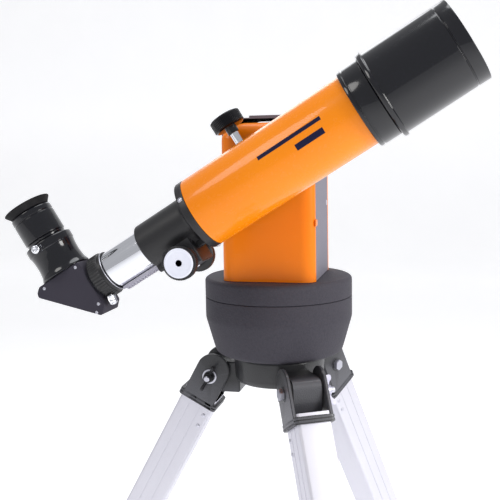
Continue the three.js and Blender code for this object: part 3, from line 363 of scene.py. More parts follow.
class Finish:
    # a material: fixed values on the shader, and nodes for what varies over the surface
    def __init__(self, name, **fixed):
        self.material = bpy.data.materials.new(name)
        self.material.use_nodes = True
        self.tree = self.material.node_tree
        self.shader = self.tree.nodes["Principled BSDF"]
        for key, value in fixed.items():
            self.shader.inputs[key.replace("_", " ")].default_value = value

    def plug(self, socket, value):
        if isinstance(value, Wire):
            self.tree.links.new(value.socket, socket)
        else:
            socket.default_value = value

    def node(self, kind, settings=None, sockets=None, output=0):
        made = self.tree.nodes.new(kind)
        for key, value in (settings or {}).items():
            if key == "stops":
                for stop, (position, colour) in enumerate(value):
                    if stop > 1:
                        made.color_ramp.elements.new(position)
                    made.color_ramp.elements[stop].position = position
                    made.color_ramp.elements[stop].color = colour
            else:
                setattr(made, key, value)
        for key, value in (sockets or {}).items():
            self.plug(made.inputs[key], value)
        return Wire(self, made.outputs[output])

    def spot(self, stretch=(1, 1, 1)):
        coords = self.node("ShaderNodeTexCoord", output="Object")
        if stretch == (1, 1, 1):
            return coords
        return self.node("ShaderNodeMapping", None, {"Vector": coords, "Scale": stretch})

    def noise(self, scale, detail=3, roughness=0.5, stretch=(1, 1, 1)):
        return self.node("ShaderNodeTexNoise", None,
                         {"Vector": self.spot(stretch), "Scale": scale, "Detail": detail,
                          "Roughness": roughness})

    def cells(self, scale, feature="F1", stretch=(1, 1, 1)):
        return self.node("ShaderNodeTexVoronoi", {"feature": feature},
                         {"Vector": self.spot(stretch), "Scale": scale})

    def blend(self, share, first, second):
        return self.node("ShaderNodeMix", {"data_type": "RGBA"}, {0: share, 6: first, 7: second}, output=2)

    def between(self, value, low, high):
        # 0 under low, 1 over high, straight between
        return self.node("ShaderNodeMapRange", None, {"Value": value, "From Min": low, "From Max": high})

    def edgeWear(self):
        # rises on convex edges
        return self.node("ShaderNodeNewGeometry", output="Pointiness")

    def feed(self, **sockets):
        for key, value in sockets.items():
            self.plug(self.shader.inputs[key.replace("_", " ")], value)
        return self

    def bump(self, height, distance, strength=1.0):
        relief = self.node("ShaderNodeBump", None,
                           {"Height": height, "Distance": distance, "Strength": strength})
        return self.feed(Normal=relief)


def glossOrange():
    made = Finish("glossOrange", Coat_Weight=0.4, Coat_Roughness=0.04, IOR=1.45, Specular_IOR_Level=0.22)
    cloud = made.noise(14, 2)
    dust = made.between(made.noise(260, 5, 0.7), 0.56, 0.8)
    body = made.blend(cloud, tint(252, 146, 4), tint(247, 133, 1))
    made.feed(Base_Color=made.blend(dust * 0.07, body, tint(240, 206, 160)),
              Roughness=made.noise(120, 4) * 0.12 + 0.2 + dust * 0.15)
    return made.bump(made.noise(900, 3), 0.00004, 0.35).material


def shellOrange():
    made = Finish("shellOrange", Coat_Weight=0.25, Coat_Roughness=0.14, IOR=1.45, Specular_IOR_Level=0.25)
    cloud = made.noise(9, 3)
    grain = made.noise(1500, 2)
    scuff = made.between(made.noise(40, 6, 0.75, (1, 1, 7)), 0.6, 0.74)
    body = made.blend(cloud, tint(250, 136, 6), tint(242, 122, 3))
    made.feed(Base_Color=made.blend(scuff * 0.1, body, tint(255, 190, 120)),
              Roughness=0.3 + grain * 0.12 + scuff * 0.12)
    return made.bump(grain, 0.00006, 0.4).material


def glossBlack():
    made = Finish("glossBlack", Coat_Weight=0.5, Coat_Roughness=0.05, IOR=1.48, Specular_IOR_Level=0.35)
    dust = made.between(made.noise(320, 6, 0.72), 0.55, 0.78)
    made.feed(Base_Color=made.blend(dust * 0.12, tint(9, 10, 18), tint(50, 50, 62)),
              Roughness=0.14 + dust * 0.18)
    return made.bump(made.noise(1100, 2), 0.00003, 0.3).material


def satinBlack():
    made = Finish("satinBlack", IOR=1.48, Coat_Weight=0.15, Coat_Roughness=0.25)
    fine = made.noise(1400, 3)
    wear = made.between(made.edgeWear(), 0.53, 0.6)
    body = made.blend(made.noise(30, 4), tint(15, 15, 18), tint(25, 24, 28))
    made.feed(Base_Color=made.blend(wear * 0.5, body, tint(92, 92, 98)), Roughness=0.38 + fine * 0.16)
    return made.bump(fine, 0.00005, 0.5).material


def grainedGrey():
    # moulded plastic with a coarse leather-like grain
    made = Finish("grainedGrey", IOR=1.45, Specular_IOR_Level=0.4)
    pebbles = made.cells(620, "SMOOTH_F1")
    fine = made.noise(1600, 4)
    body = made.blend(pebbles, tint(62, 60, 69), tint(47, 45, 54))
    made.feed(Base_Color=made.blend(made.noise(16, 3) * 0.5, body, tint(76, 73, 80)),
              Roughness=0.62 + fine * 0.2)
    return made.bump(pebbles * 0.7 + fine * 0.4, 0.00035, 0.75).material


def paleGrainedGrey():
    # the same moulding on the pillar's middle frame, a little lighter
    made = Finish("paleGrainedGrey", IOR=1.45, Specular_IOR_Level=0.45)
    pebbles = made.cells(900, "SMOOTH_F1")
    fine = made.noise(2100, 3)
    body = made.blend(pebbles, tint(122, 119, 131), tint(106, 103, 115))
    made.feed(Base_Color=made.blend(made.noise(12, 3) * 0.4, body, tint(134, 130, 143)),
              Roughness=0.5 + fine * 0.2)
    return made.bump(pebbles * 0.7 + fine * 0.4, 0.0002, 0.6).material


def wrinkleBlack():
    # crackle paint on castings
    made = Finish("wrinkleBlack", IOR=1.5, Coat_Weight=0.45, Coat_Roughness=0.22)
    wrinkles = made.cells(480, "DISTANCE_TO_EDGE")
    fine = made.noise(1300, 4)
    wear = made.between(made.edgeWear(), 0.53, 0.62)
    body = made.blend(made.noise(22, 3), tint(23, 24, 27), tint(36, 36, 40))
    made.feed(Base_Color=made.blend(wear * 0.55, body, tint(110, 110, 118)), Roughness=0.42 + fine * 0.2)
    return made.bump(wrinkles * 1.3 + fine * 0.4, 0.0003, 0.7).material


def mouldedBlack():
    made = Finish("mouldedBlack", IOR=1.46)
    fine = made.noise(1700, 3)
    wear = made.between(made.edgeWear(), 0.54, 0.64)
    body = made.blend(made.noise(40, 3), tint(13, 13, 16), tint(22, 21, 26))
    made.feed(Base_Color=made.blend(wear * 0.4, body, tint(90, 90, 98)), Roughness=0.36 + fine * 0.14)
    return made.bump(fine, 0.00006, 0.5).material


def mattePlum():
    # the diagonal's dark plastic plates
    made = Finish("mattePlum", IOR=1.45, Specular_IOR_Level=0.35)
    fine = made.noise(1900, 4)
    body = made.blend(made.noise(26, 4), tint(58, 55, 66), tint(48, 45, 56))
    made.feed(Base_Color=body, Roughness=0.55 + fine * 0.2)
    return made.bump(fine, 0.00008, 0.6).material


def softRubber():
    made = Finish("softRubber", IOR=1.42, Specular_IOR_Level=0.3)
    fine = made.noise(1400, 5)
    dust = made.between(made.noise(90, 6, 0.7), 0.5, 0.75)
    body = made.blend(dust * 0.35, tint(30, 30, 32), tint(74, 72, 72))
    made.feed(Base_Color=body, Roughness=0.72 + fine * 0.2)
    return made.bump(fine, 0.0001, 0.6).material


def brightChrome():
    made = Finish("brightChrome", Metallic=1.0)
    # lengthwise streaks in the base colour: partly draw marks, partly painted reflection streaks
    drawMarksAndPaintedStreaks = made.noise(420, 3, 0.6, (1, 1, 0.02))
    haze = made.between(made.noise(60, 5, 0.7), 0.5, 0.8)
    made.feed(Base_Color=made.blend(drawMarksAndPaintedStreaks, tint(240, 241, 245), tint(222, 224, 231)),
              Roughness=0.05 + drawMarksAndPaintedStreaks * 0.06 + haze * 0.08)
    return made.bump(drawMarksAndPaintedStreaks, 0.00001, 0.3).material


def spunSilver():
    # turned aluminium, with fine rings about the knob's own axis
    made = Finish("spunSilver", Metallic=0.12)
    away = made.node("ShaderNodeVectorMath", {"operation": "LENGTH"}, {0: made.spot((1, 1, 0))},
                     output="Value")
    rings = made.node("ShaderNodeMath", {"operation": "SINE"}, {0: away * 16000.0})
    cloud = made.noise(60, 3)
    made.feed(Base_Color=made.blend(cloud, tint(244, 246, 255), tint(232, 234, 250)),
              Roughness=0.34 + rings * 0.05)
    return made.bump(rings, 0.00002, 0.4).material


def plainSteel():
    made = Finish("plainSteel", Metallic=1.0)
    fine = made.noise(700, 5, 0.65)
    stain = made.between(made.noise(50, 5, 0.7), 0.5, 0.75)
    made.feed(Base_Color=made.blend(stain * 0.5, tint(204, 204, 214), tint(160, 158, 164)),
              Roughness=0.26 + fine * 0.16)
    return made.bump(fine, 0.00003, 0.4).material


def paleZinc():
    made = Finish("paleZinc", Metallic=0.85)
    flakes = made.cells(160)
    fine = made.noise(800, 4)
    made.feed(Base_Color=made.blend(flakes, tint(206, 205, 220), tint(184, 183, 200)),
              Roughness=0.32 + fine * 0.16)
    return made.bump(fine, 0.00003, 0.4).material


def legSilver():
    # satin anodised extrusion, with faint lines along the leg
    made = Finish("legSilver", Metallic=0.55)
    lines = made.noise(900, 3, 0.6, (1, 1, 0.008))
    scuff = made.between(made.noise(70, 6, 0.75, (1, 1, 0.4)), 0.6, 0.74)
    body = made.blend(made.noise(9, 3), tint(226, 225, 233), tint(214, 213, 223))
    made.feed(Base_Color=made.blend(scuff * 0.2, body, tint(190, 188, 196)), Roughness=0.38 + lines * 0.16)
    return made.bump(lines, 0.00003, 0.5).material


def palePlastic():
    made = Finish("palePlastic", IOR=1.48)
    fine = made.noise(900, 3)
    made.feed(Base_Color=made.blend(made.noise(50, 3), tint(196, 193, 206), tint(178, 176, 190)),
              Roughness=0.34 + fine * 0.12)
    return made.bump(fine, 0.00004, 0.4).material


def oldBrass():
    made = Finish("oldBrass", Metallic=1.0)
    stain = made.noise(60, 5, 0.7)
    made.feed(Base_Color=made.blend(stain, tint(206, 174, 104), tint(158, 126, 70)),
              Roughness=0.28 + stain * 0.2)
    return made.bump(made.noise(800, 4), 0.00003, 0.4).material


def coatedGlass():
    made = Finish("coatedGlass", Transmission_Weight=0.92, IOR=1.52, Coat_Weight=0.6,
                  Coat_Tint=tint(150, 190, 150))
    haze = made.between(made.noise(180, 5, 0.7), 0.6, 0.85)
    made.feed(Base_Color=made.blend(haze * 0.4, tint(226, 240, 232), tint(205, 214, 214)),
              Roughness=0.01 + haze * 0.05)
    return made.material


def silveredGlass():
    made = Finish("silveredGlass", Metallic=1.0)
    haze = made.noise(40, 4)
    made.feed(Base_Color=made.blend(haze, tint(236, 240, 244), tint(226, 231, 237)),
              Roughness=haze * 0.03 + 0.01)
    return made.material


def cellWrap():
    # printed sleeves: blue with a silver band, cell by cell
    made = Finish("cellWrap", IOR=1.48, Coat_Weight=0.4)
    along = made.node("ShaderNodeSeparateXYZ", None, {0: made.spot()}, output=0)
    stripes = made.node("ShaderNodeMath", {"operation": "SINE"}, {0: along * 260.0})
    band = made.between(stripes, 0.72, 0.76)
    made.feed(Base_Color=made.blend(band, tint(34, 66, 128), tint(188, 190, 198)),
              Roughness=0.3 + made.noise(300, 3) * 0.15)
    return made.bump(made.noise(500, 3), 0.00004, 0.4).material


def flatBlack():
    # the baffle paint inside tubes; on the legs' and the pillar frame's inner walls it is painted shade
    made = Finish("flatBlack", IOR=1.4, Specular_IOR_Level=0.15)
    fine = made.noise(2200, 4)
    made.feed(Base_Color=made.blend(fine, tint(13, 13, 14), tint(24, 24, 26)), Roughness=0.85 + fine * 0.1)
    return made.bump(fine, 0.0001, 0.6).material


def printedNavy():
    # the ink of the plain plate and bar on the tube
    made = Finish("printedNavy", IOR=1.4, Specular_IOR_Level=0.2)
    fine = made.noise(700, 4)
    made.feed(Base_Color=made.blend(fine, tint(30, 31, 66), tint(22, 22, 48)), Roughness=0.5 + fine * 0.2)
    return made.bump(fine, 0.00002, 0.3).material


def whiteEnamel():
    made = Finish("whiteEnamel", IOR=1.5, Coat_Weight=0.3)
    fine = made.noise(500, 4)
    made.feed(Base_Color=made.blend(fine, tint(236, 236, 240), tint(220, 220, 226)),
              Roughness=0.3 + fine * 0.1)
    return made.bump(fine, 0.00003, 0.4).material


orangeGloss = glossOrange()
orangeShell = shellOrange()
blackGloss = glossBlack()
blackSatin = satinBlack()
greyGrain = grainedGrey()
paleGrain = paleGrainedGrey()
blackWrinkle = wrinkleBlack()
blackMoulding = mouldedBlack()
plumMatte = mattePlum()
rubber = softRubber()
chrome = brightChrome()
silver = spunSilver()
steel = plainSteel()
zinc = paleZinc()
legMetal = legSilver()
paleMoulding = palePlastic()
brass = oldBrass()
glass = coatedGlass()
mirror = silveredGlass()
cellSleeve = cellWrap()
innerBlack = flatBlack()
enamel = whiteEnamel()
navyInk = printedNavy()
print("finishes ready")

# optical tube

tubeDetail = {
    "wall": 1.2,
    "rolledEdge": 0.5,
    "badgeLength": 27.0,
    "badgeHeight": 5.4,
    "badgeFrom": 53.5,
    "badgeRise": -1.3,
    "stripeFrom": 21.0,
    "stripeLength": 62.0,
    "stripeHeight": 3.4,
    "stripeRise": 9.0,
    "filmThickness": 0.12,
}


def makeMainTube():
    size = tubeDetail
    low, high = extent("main_tube", barrelPlace)
    radius = high.x
    inner = radius - size["wall"]
    edge = size["rolledEdge"]
    piece = Piece("mainTube", barrelPlace, orangeGloss, innerBlack)
    skin = turned([(inner, low.z, edge), (radius, low.z, edge), (radius, high.z, edge),
                   (inner, high.z, edge)], 160)
    piece.add(skin)
    piece.repaint(1, lambda centre, normal: math.hypot(centre.x, centre.y) < inner + 0.1)
    return piece.done("optical_tube", "orange_paint", "main_tube")


def makeBadge():
    # a plain plate and a stripe printed on the tube
    size = tubeDetail
    radius = extent("main_tube", barrelPlace)[1].x
    film = size["filmThickness"]
    piece = Piece("tubeBadge", barrelPlace, navyInk)
    rows = [("badgeFrom", "badgeLength", "badgeHeight", "badgeRise"),
            ("stripeFrom", "stripeLength", "stripeHeight", "stripeRise")]
    for start, length, height, rise in rows:
        low, high = size[rise] - size[height] / 2, size[rise] + size[height] / 2
        strips = 6
        form = bmesh.new()
        for k in range(strips):
            x0 = low + (high - low) * k / strips
            x1 = low + (high - low) * (k + 1) / strips
            corners = [(x0, film, size[start]), (x1, film, size[start]),
                       (x1, film, size[start] + size[length]), (x0, film, size[start] + size[length])]
            form.faces.new([form.verts.new(corner) for corner in corners])
        bmesh.ops.remove_doubles(form, verts=form.verts, dist=0.001)
        extruded = bmesh.ops.extrude_face_region(form, geom=form.faces)
        for vertex in extruded["geom"]:
            if isinstance(vertex, bmesh.types.BMVert):
                vertex.co.y -= 2 * film
        piece.add(wrapped(form, radius))
    return piece.done("optical_tube", "black_gloss")


cellDetail = {"rounding": 1.2, "grooveDepth": 0.7, "grooveWidth": 1.4, "grooveFromRear": 3.4}


def makeObjectiveCell():
    size = cellDetail
    low, high = extent("objective_cell", barrelPlace)
    shieldLow = extent("dew_shield", barrelPlace)[0].z
    tubeFront = extent("main_tube", barrelPlace)[1].z
    tubeRadius = extent("main_tube", barrelPlace)[1].x
    lensHigh = extent("objective_lens", barrelPlace)[1]
    collar = high.x
    nose = extent("dew_shield", barrelPlace)[1].x - 5.7
    front = shieldLow - 0.3
    groove = low.z + size["grooveFromRear"]
    pocket = lensHigh.x + 0.3
    profile = [
        (tubeRadius + 0.3, low.z, 0.3),
        (collar, low.z, size["rounding"]),
        (collar, groove, 0.3),
        (collar - size["grooveDepth"], groove, 0.2),
        (collar - size["grooveDepth"], groove + size["grooveWidth"], 0.2),
        (collar, groove + size["grooveWidth"], 0.3),
        (collar, front, size["rounding"]),
        (nose, front, 0.2),
        (nose, high.z, 0.5),
        (pocket, high.z, 0.5),
        (pocket, tubeFront + 3, 0.2),
        (lensHigh.x - 1.3, tubeFront + 3, 0.2),
        (lensHigh.x - 1.3, tubeFront + 0.3, 0.2),
        (tubeRadius + 0.3, tubeFront + 0.3, 0.2),
    ]
    piece = Piece("objectiveCell", barrelPlace, blackGloss, innerBlack)
    piece.add(turned(profile, 160))
    piece.repaint(1, lambda centre, normal: math.hypot(centre.x, centre.y) < pocket + 0.2
                  and centre.z > tubeFront)
    return piece.done("optical_tube", "black_gloss", "objective_cell")


def makeObjectiveLens():
    low, high = extent("objective_lens", barrelPlace)
    radius = high.x
    bulge = 2.6
    profile = [(0, low.z)]
    profile += [(radius * 0.95 * k / 8, low.z + bulge * (k / 8) ** 2) for k in range(1, 9)]
    profile += [(radius, low.z + bulge, 0.3), (radius, high.z - bulge, 0.3)]
    profile += [(radius * k / 10, high.z - bulge * (k / 10) ** 2) for k in range(9, 0, -1)]
    profile += [(0, high.z)]
    return Piece("objectiveLens", barrelPlace, glass).add(turned(profile, 128)).done(
        "optical_tube", "lens_glass", "objective_lens")


shieldDetail = {
    "bead": 4.6,
    "beadRounding": 2.2,
    "taper": 0.8,
    "wall": 2.2,
    "grooveFromFront": 12.0,
    "grooveWidth": 1.1,
    "grooveDepth": 0.6,
    "threads": 5,
    "threadPitch": 1.5,
}


def makeDewShield():
    size = shieldDetail
    low, high = extent("dew_shield", barrelPlace)
    bead = high.x
    rear = bead - 2.2
    front = rear - size["taper"]
    inner = front - size["wall"] + 0.1
    groove = high.z - size["grooveFromFront"]
    profile = [
        (inner, low.z, 0.4),
        (bead, low.z, size["beadRounding"]),
        (bead, low.z + size["bead"], size["beadRounding"]),
        (rear, low.z + size["bead"], 0.9),
        (front, groove, 0.2),
        (front - size["grooveDepth"], groove + 0.3, 0.2),
        (front - size["grooveDepth"], groove + size["grooveWidth"], 0.2),
        (front, groove + size["grooveWidth"] + 0.3, 0.2),
        (front, high.z, 0.7),
        (inner, high.z, 0.6),
    ]
    start = high.z - 3
    for turnCount in range(size["threads"]):  # fine baffle rings inside the mouth
        at = start - turnCount * size["threadPitch"] * 2
        profile += [(inner, at, 0.1), (inner + 0.5, at - size["threadPitch"] / 2, 0.1),
                    (inner, at - size["threadPitch"], 0.1)]
    piece = Piece("dewShield", barrelPlace, blackGloss, innerBlack)
    piece.add(turned(profile, 180, steps=5))
    piece.repaint(1, lambda centre, normal: math.hypot(centre.x, centre.y) < inner + 0.7
                  and centre.z < high.z - 1.2)
    return piece.done("dew_shield", "black_gloss", "dew_shield")


focuserDetail = {
    "flange": 7.0,
    "rounding": 1.4,
    "stepBack": 3.6,
    "screwRadius": 2.3,
    "screwCount": 3,
}


def makeFocuser():
    size = focuserDetail
    low, high = extent("focuser_housing", barrelPlace)
    tubeRear = extent("main_tube", barrelPlace)[0].z
    drawRadius = extent("drawtube", barrelPlace)[1].x
    rackLow = extent("drawtube_rack", tubePlace)[0]
    rackHigh = extent("drawtube_rack", tubePlace)[1]
    shaftAt = tubePlace.inverted() @ jointSpot("focus_pinion_turn") / mm
    flangeRadius = high.x
    body = 21.7
    flangeRear = tubeRear - 0.3 - size["flange"]
    plug = extent("main_tube", barrelPlace)[1].x - tubeDetail["wall"] - 0.3
    profile = [
        (0, low.z),
        (body - 1.4, low.z, 0.5),
        (body, low.z + 1.4, 0.5),
        (body, flangeRear - 4, 2.5),
        (flangeRadius - size["stepBack"], flangeRear, 1.6),
        (flangeRadius, flangeRear, size["rounding"]),
        (flangeRadius, tubeRear - 0.3, 0.5),
        (plug, tubeRear - 0.3, 0.2),
        (plug, high.z, 0.5),
        (0, high.z),
    ]
    shell = turned(profile, 128)
    bore = turned([(0, low.z - 2), (drawRadius + 0.4, low.z - 2), (drawRadius + 0.4, high.z + 2),
                   (0, high.z + 2)], 96)
    slotHalf = (rackHigh.y - rackLow.y) / 2 + 0.4
    tunnelHalf = slotHalf + 3.1
    slotFloor = rackLow.z - 0.6
    tunnel = prism(oblongBetween(-tunnelHalf, tunnelHalf, slotFloor - 2.4, -14), low.z, flangeRear + 1, 0.7)
    bossLow = shaftAt.z - 9
    bossHalf = 15
    boss = prism(oblongBetween(-17, 17, bossLow, -8), shaftAt.x - bossHalf, shaftAt.x + bossHalf, 1.6, 3)
    slot = slab(-slotHalf, slotHalf, slotFloor, 0, low.z - 2, high.z + 2, 0)
    gearRoom = lyingX(turned([(0, -5.4), (8.4, -5.4), (8.4, 5.4), (0, 5.4)], 48))
    shaftHole = lyingX(turned([(0, -19), (3.4, -19), (3.4, 19), (0, 19)], 32))
    atShaft = shift(0, shaftAt.z, shaftAt.x)
    piece = Piece("focuserBody", barrelPlace, blackSatin, innerBlack, steel)
    tools = [bore, slot, shifted(gearRoom, atShaft), shifted(shaftHole, atShaft)]
    whole = joined(shell, tunnel, boss)
    piece.add(carved(whole, *tools))
    piece.repaint(1, lambda centre, normal: math.hypot(centre.x, centre.y) < drawRadius + 0.8
                  and abs(normal.z) < 0.5)
    for angle in around(size["screwCount"], 150):  # flange screws
        out = turn(angle) @ shift(flangeRadius - 0.3, 0, tubeRear - 0.3 - size["flange"] / 2) @ turn(90, "Y")
        piece.add(slottedScrew(size["screwRadius"], 1.1), out, 2)
    for side in (-1, 1):  # the pinion cover's screws
        out = shift(side * 10.5, bossLow, shaftAt.x) @ turn(90, "X")
        piece.add(slottedScrew(1.8, 1.0), out, 2)
    return piece.done("optical_tube", "black_satin_metal", "focuser_housing")


def oblongBetween(x0, x1, y0, y1, rounding=2.0):
    return softened([(x0, y0, rounding), (x1, y0, rounding), (x1, y1, rounding), (x0, y1, rounding)], 4)


def joined(first, *others):
    # one closed skin from several overlapping forms
    body = looseObject(first)
    helpers = [looseObject(form) for form in others]
    for helper in helpers:
        step = body.modifiers.new("join", "BOOLEAN")
        step.operation = "UNION"
        step.solver = "EXACT"
        step.object = helper
    result = bmesh.new()
    result.from_object(body, bpy.context.evaluated_depsgraph_get())
    for used in [body, *helpers]:
        bpy.data.objects.remove(used)
    return result


def makeDovetail():
    low, high = extent("dovetail_bar", tubePlace)
    tubeRadius = extent("main_tube", barrelPlace)[1].x
    neckHalf = 15
    face = tubeRadius + 5.2
    section = softened([(tubeRadius * 0.8, -neckHalf), (face, -neckHalf, 0.6), (high.y, low.z, 0.8),
                        (high.y, high.z, 0.8), (face, neckHalf, 0.6), (tubeRadius * 0.8, neckHalf)], 3)
    bar = prism(section, low.x, high.x, 0.8)
    room = shifted(turned([(0, low.x - 2), (tubeRadius + 0.2, low.x - 2), (tubeRadius + 0.2, high.x + 2),
                           (0, high.x + 2)], 128),
                   Matrix())
    piece = Piece("dovetailBar", barrelPlace, blackSatin, steel)
    piece.add(carved(bar, room))
    for along in (low.x + 14, high.x - 14):
        piece.add(slottedScrew(3.2, 0.9), shift(high.y - 0.4, 0, along) @ turn(90, "Y"), 1)
    return piece.done("optical_tube", "black_satin_metal", "dovetail_bar")


drawtubeDetail = {"wall": 1.4, "endRounding": 0.4}


def makeDrawtube():
    size = drawtubeDetail
    low, high = extent("drawtube", barrelPlace)
    radius = high.x
    inner = radius - size["wall"]
    edge = size["endRounding"]
    piece = Piece("drawtubeBarrel", barrelPlace, chrome, innerBlack)
    piece.add(turned([(inner, low.z, edge), (radius, low.z, edge), (radius, high.z, edge),
                      (inner, high.z, edge)], 160))
    piece.repaint(1, lambda centre, normal: math.hypot(centre.x, centre.y) < inner + 0.1)
    return piece.done("drawtube", "chrome", "drawtube")


rackDetail = {"pitch": math.pi, "back": 2.8, "toothFoot": 0.72, "toothTip": 0.24}


def makeRack():
    size = rackDetail
    low, high = extent("drawtube_rack", tubePlace)
    pinionAt = (tubePlace.inverted() @ jointSpot("focus_pinion_turn") / mm).x
    root = high.z - size["back"]
    outline = [(low.x, high.z), (low.x, root)]
    first = math.ceil((low.x - pinionAt) / size["pitch"] + 0.5)
    last = math.floor((high.x - pinionAt) / size["pitch"] - 1)
    for tooth in range(first, last + 1):
        middle = pinionAt + (tooth + 0.5) * size["pitch"]
        for share, depth in ((-size["toothFoot"], root), (-size["toothTip"], low.z),
                             (size["toothTip"], low.z), (size["toothFoot"], root)):
            outline.append((middle + share * size["pitch"] / 2, depth))
    outline += [(high.x, root), (high.x, high.z)]
    piece = Piece("drawtubeRack", tubePlace, paleMoulding)
    form = lyingY(prism(outline, -high.y, high.y, 0.2, 1))
    centre = (low.y + high.y) / 2
    piece.add(form, shift(0, centre, 0))
    return piece.done("drawtube", "rack_plastic", "drawtube_rack")


holderDetail = {
    "ring": 8.0,
    "ribs": 46,
    "ribDepth": 0.55,
    "neckInset": 1.2,
    "brightLine": 0.7,
}


def makeEyepieceHolder():
    size = holderDetail
    low, high = extent("eyepiece_holder", barrelPlace)
    ring = high.y if high.y > -low.y else -low.y
    ring = max(ring, high.x)
    bore = 16.15
    drawGrip = extent("drawtube", barrelPlace)[1].x + 0.3
    ringFront = low.z + size["ring"] + 3
    neck = ring - size["neckInset"]
    stop = extent("drawtube", barrelPlace)[0].z - 0.3

    def ribbed(radius, height, angle):
        onRib = radius > ring - 0.2 and low.z + 0.8 < height < ringFront - 0.4
        return radius - size["ribDepth"] * (0.5 + 0.5 * math.cos(angle * size["ribs"])) if onRib else radius

    rows = [(ring, low.z + 1 + (ringFront - low.z - 2) * k / 4) for k in range(5)]
    profile = [(bore, low.z, 0.4), (ring - 1, low.z, 0.4), (ring - 0.4, low.z + 0.6), *rows,
               (ring - 0.5, ringFront - 0.3), (neck, ringFront, 0.3),
               (neck, high.z - size["brightLine"] - 0.6, 0.2),
               (neck - 0.5, high.z - size["brightLine"] - 0.3, 0.2),
               (neck - 0.1, high.z - size["brightLine"], 0.2),
               (neck - 0.1, high.z, 0.3), (drawGrip, high.z, 0.2), (drawGrip, stop, 0.2), (bore, stop, 0.3)]
    piece = Piece("eyepieceHolder", barrelPlace, blackSatin, steel)
    piece.add(turned(profile, size["ribs"] * 6, ribbed, 3))
    piece.repaint(1, lambda centre, normal: centre.z > high.z - size["brightLine"]
                  and math.hypot(centre.x, centre.y) > neck - 0.6)
    return piece.done("drawtube", "black_satin_metal", "eyepiece_holder")


knobDetail = {
    "teeth": 64,
    "toothDepth": 0.55,
    "capInset": 2.4,
    "capRise": 1.4,
    "dishDepth": 0.35,
}


def makeFocusKnob(name, node, towards):
    # towards is 1 for the knob on the operator's side and -1 for the far one
    size = knobDetail
    spot = jointSpot("focus_pinion_turn")
    base = axesAt(spot, tubePlace.to_3x3().col[0], tubePlace.to_3x3().col[2] * towards,
                  Vector((0, -1, 0)) * towards)
    low, high = extent(node, base)
    rim = high.x
    cap = rim - size["capInset"]
    front = high.z
    rimFront = front - size["capRise"]

    def knurled(radius, height, angle):
        if radius <= rim - 0.3:
            return radius
        return radius - size["toothDepth"] * (0.5 + 0.5 * math.cos(angle * size["teeth"]))

    grip = [(rim, low.z + 4 + (rimFront - low.z - 5.2) * k / 3) for k in range(4)]
    body = [(3.3, low.z, 0.3), (rim - 5, low.z, 1.2), (rim - 0.7, low.z + 3.2, 0.6), *grip,
            (rim - 0.8, rimFront - 0.4, 0.4), (cap + 0.4, rimFront, 0.2), (3.3, rimFront)]
    disc = [(3.3, rimFront - 0.2), (cap, rimFront - 0.2), (cap, front - 0.3, 0.5), (cap - 1.6, front, 0.4),
            (cap - 2.6, front - size["dishDepth"], 0.5), (3.2, front - size["dishDepth"], 0.4),
            (3.2, front - 1.6, 0.3), (0, front - 1.6)]
    piece = Piece(name, base, blackMoulding, silver)
    piece.add(turned(body, size["teeth"] * 6, knurled, 3))
    closed = turned([(0, rimFront - 0.2)] + disc[1:], 96)
    piece.add(closed, None, 1)
    return piece.done("focus_pinion", "black_plastic", node)


# star diagonal and eyepiece

diagonalDetail = {"edge": 1.0, "screwRadius": 1.5}


def sectionOf(node, place):
    # the corners of a CAD node's flat side, in order round its middle, in X and Z
    toLocal = place.inverted()
    side = extent(node, place)[1].y - 0.05
    spots = set()
    for vertex in frame["nodes"][node].data.vertices:
        spot = toLocal @ vertex.co / mm
        if spot.y > side:
            spots.add((round(spot.x, 2), round(spot.z, 2)))
    middle = (sum(s[0] for s in spots) / len(spots), sum(s[1] for s in spots) / len(spots))
    return sorted(spots, key=lambda s: math.atan2(s[1] - middle[1], s[0] - middle[0]))


def makeDiagonalHousing():
    size = diagonalDetail
    high = extent("diagonal_housing", tubePlace)[1]
    eyeAxis = (tubePlace.inverted() @ jointSpot("collar_thumbscrew_turn") / mm).x
    corners = sectionOf("diagonal_housing", tubePlace)
    outline = softened([(x, z, 1.6) for x, z in corners], 4)
    half = high.y
    body = lyingY(prism(outline, -half, half, size["edge"], 3))
    nose = lyingX(turned([(0, -176), (15.85, -176), (15.85, high.x - 0.6, 0.5), (0, high.x)], 96))
    lightIn = lyingX(turned([(0, eyeAxis), (12.5, eyeAxis), (12.5, high.x + 2), (0, high.x + 2)], 64))
    lightOut = turned([(0, -6), (12.5, -6), (12.5, 26), (0, 26)], 64)
    pocket = slab(-20.3, 20.3, -14.3, 14.3, -15, 0, 0)
    atBend = shift(eyeAxis, 0, 0)
    piece = Piece("diagonalHousing", tubePlace, plumMatte, steel, chrome)
    body = carved(body, lightIn.copy(), shifted(lightOut, atBend), shifted(pocket, atBend @ turn(45, "Y")))
    piece.add(body)
    tube = carved(nose, lightIn)
    piece.add(tube, None, 2)
    faceMiddle = (sum(x for x, z in corners) / len(corners), sum(z for x, z in corners) / len(corners))
    for x, z in corners[:]:  # plate screws near three corners
        inward = Vector((faceMiddle[0] - x, faceMiddle[1] - z)).normalized() * 5.5
        if abs(z) < 19:
            continue
        for side in (-1, 1):
            out = shift(x + inward.x, side * (half - 0.05), z + inward.y) @ turn(90 * side, "X") @ turn(180,
                                                                                                        "X")
            piece.add(slottedScrew(size["screwRadius"], 0.5, 0.4), out, 1)
    return piece.done("diagonal", "diagonal_plastic", "diagonal_housing")


eyePlace = moved(tubePlace, x=(tubePlace.inverted() @ jointSpot("collar_thumbscrew_turn") / mm).x)

collarDetail = {"band": 7.7, "waist": 21.3}


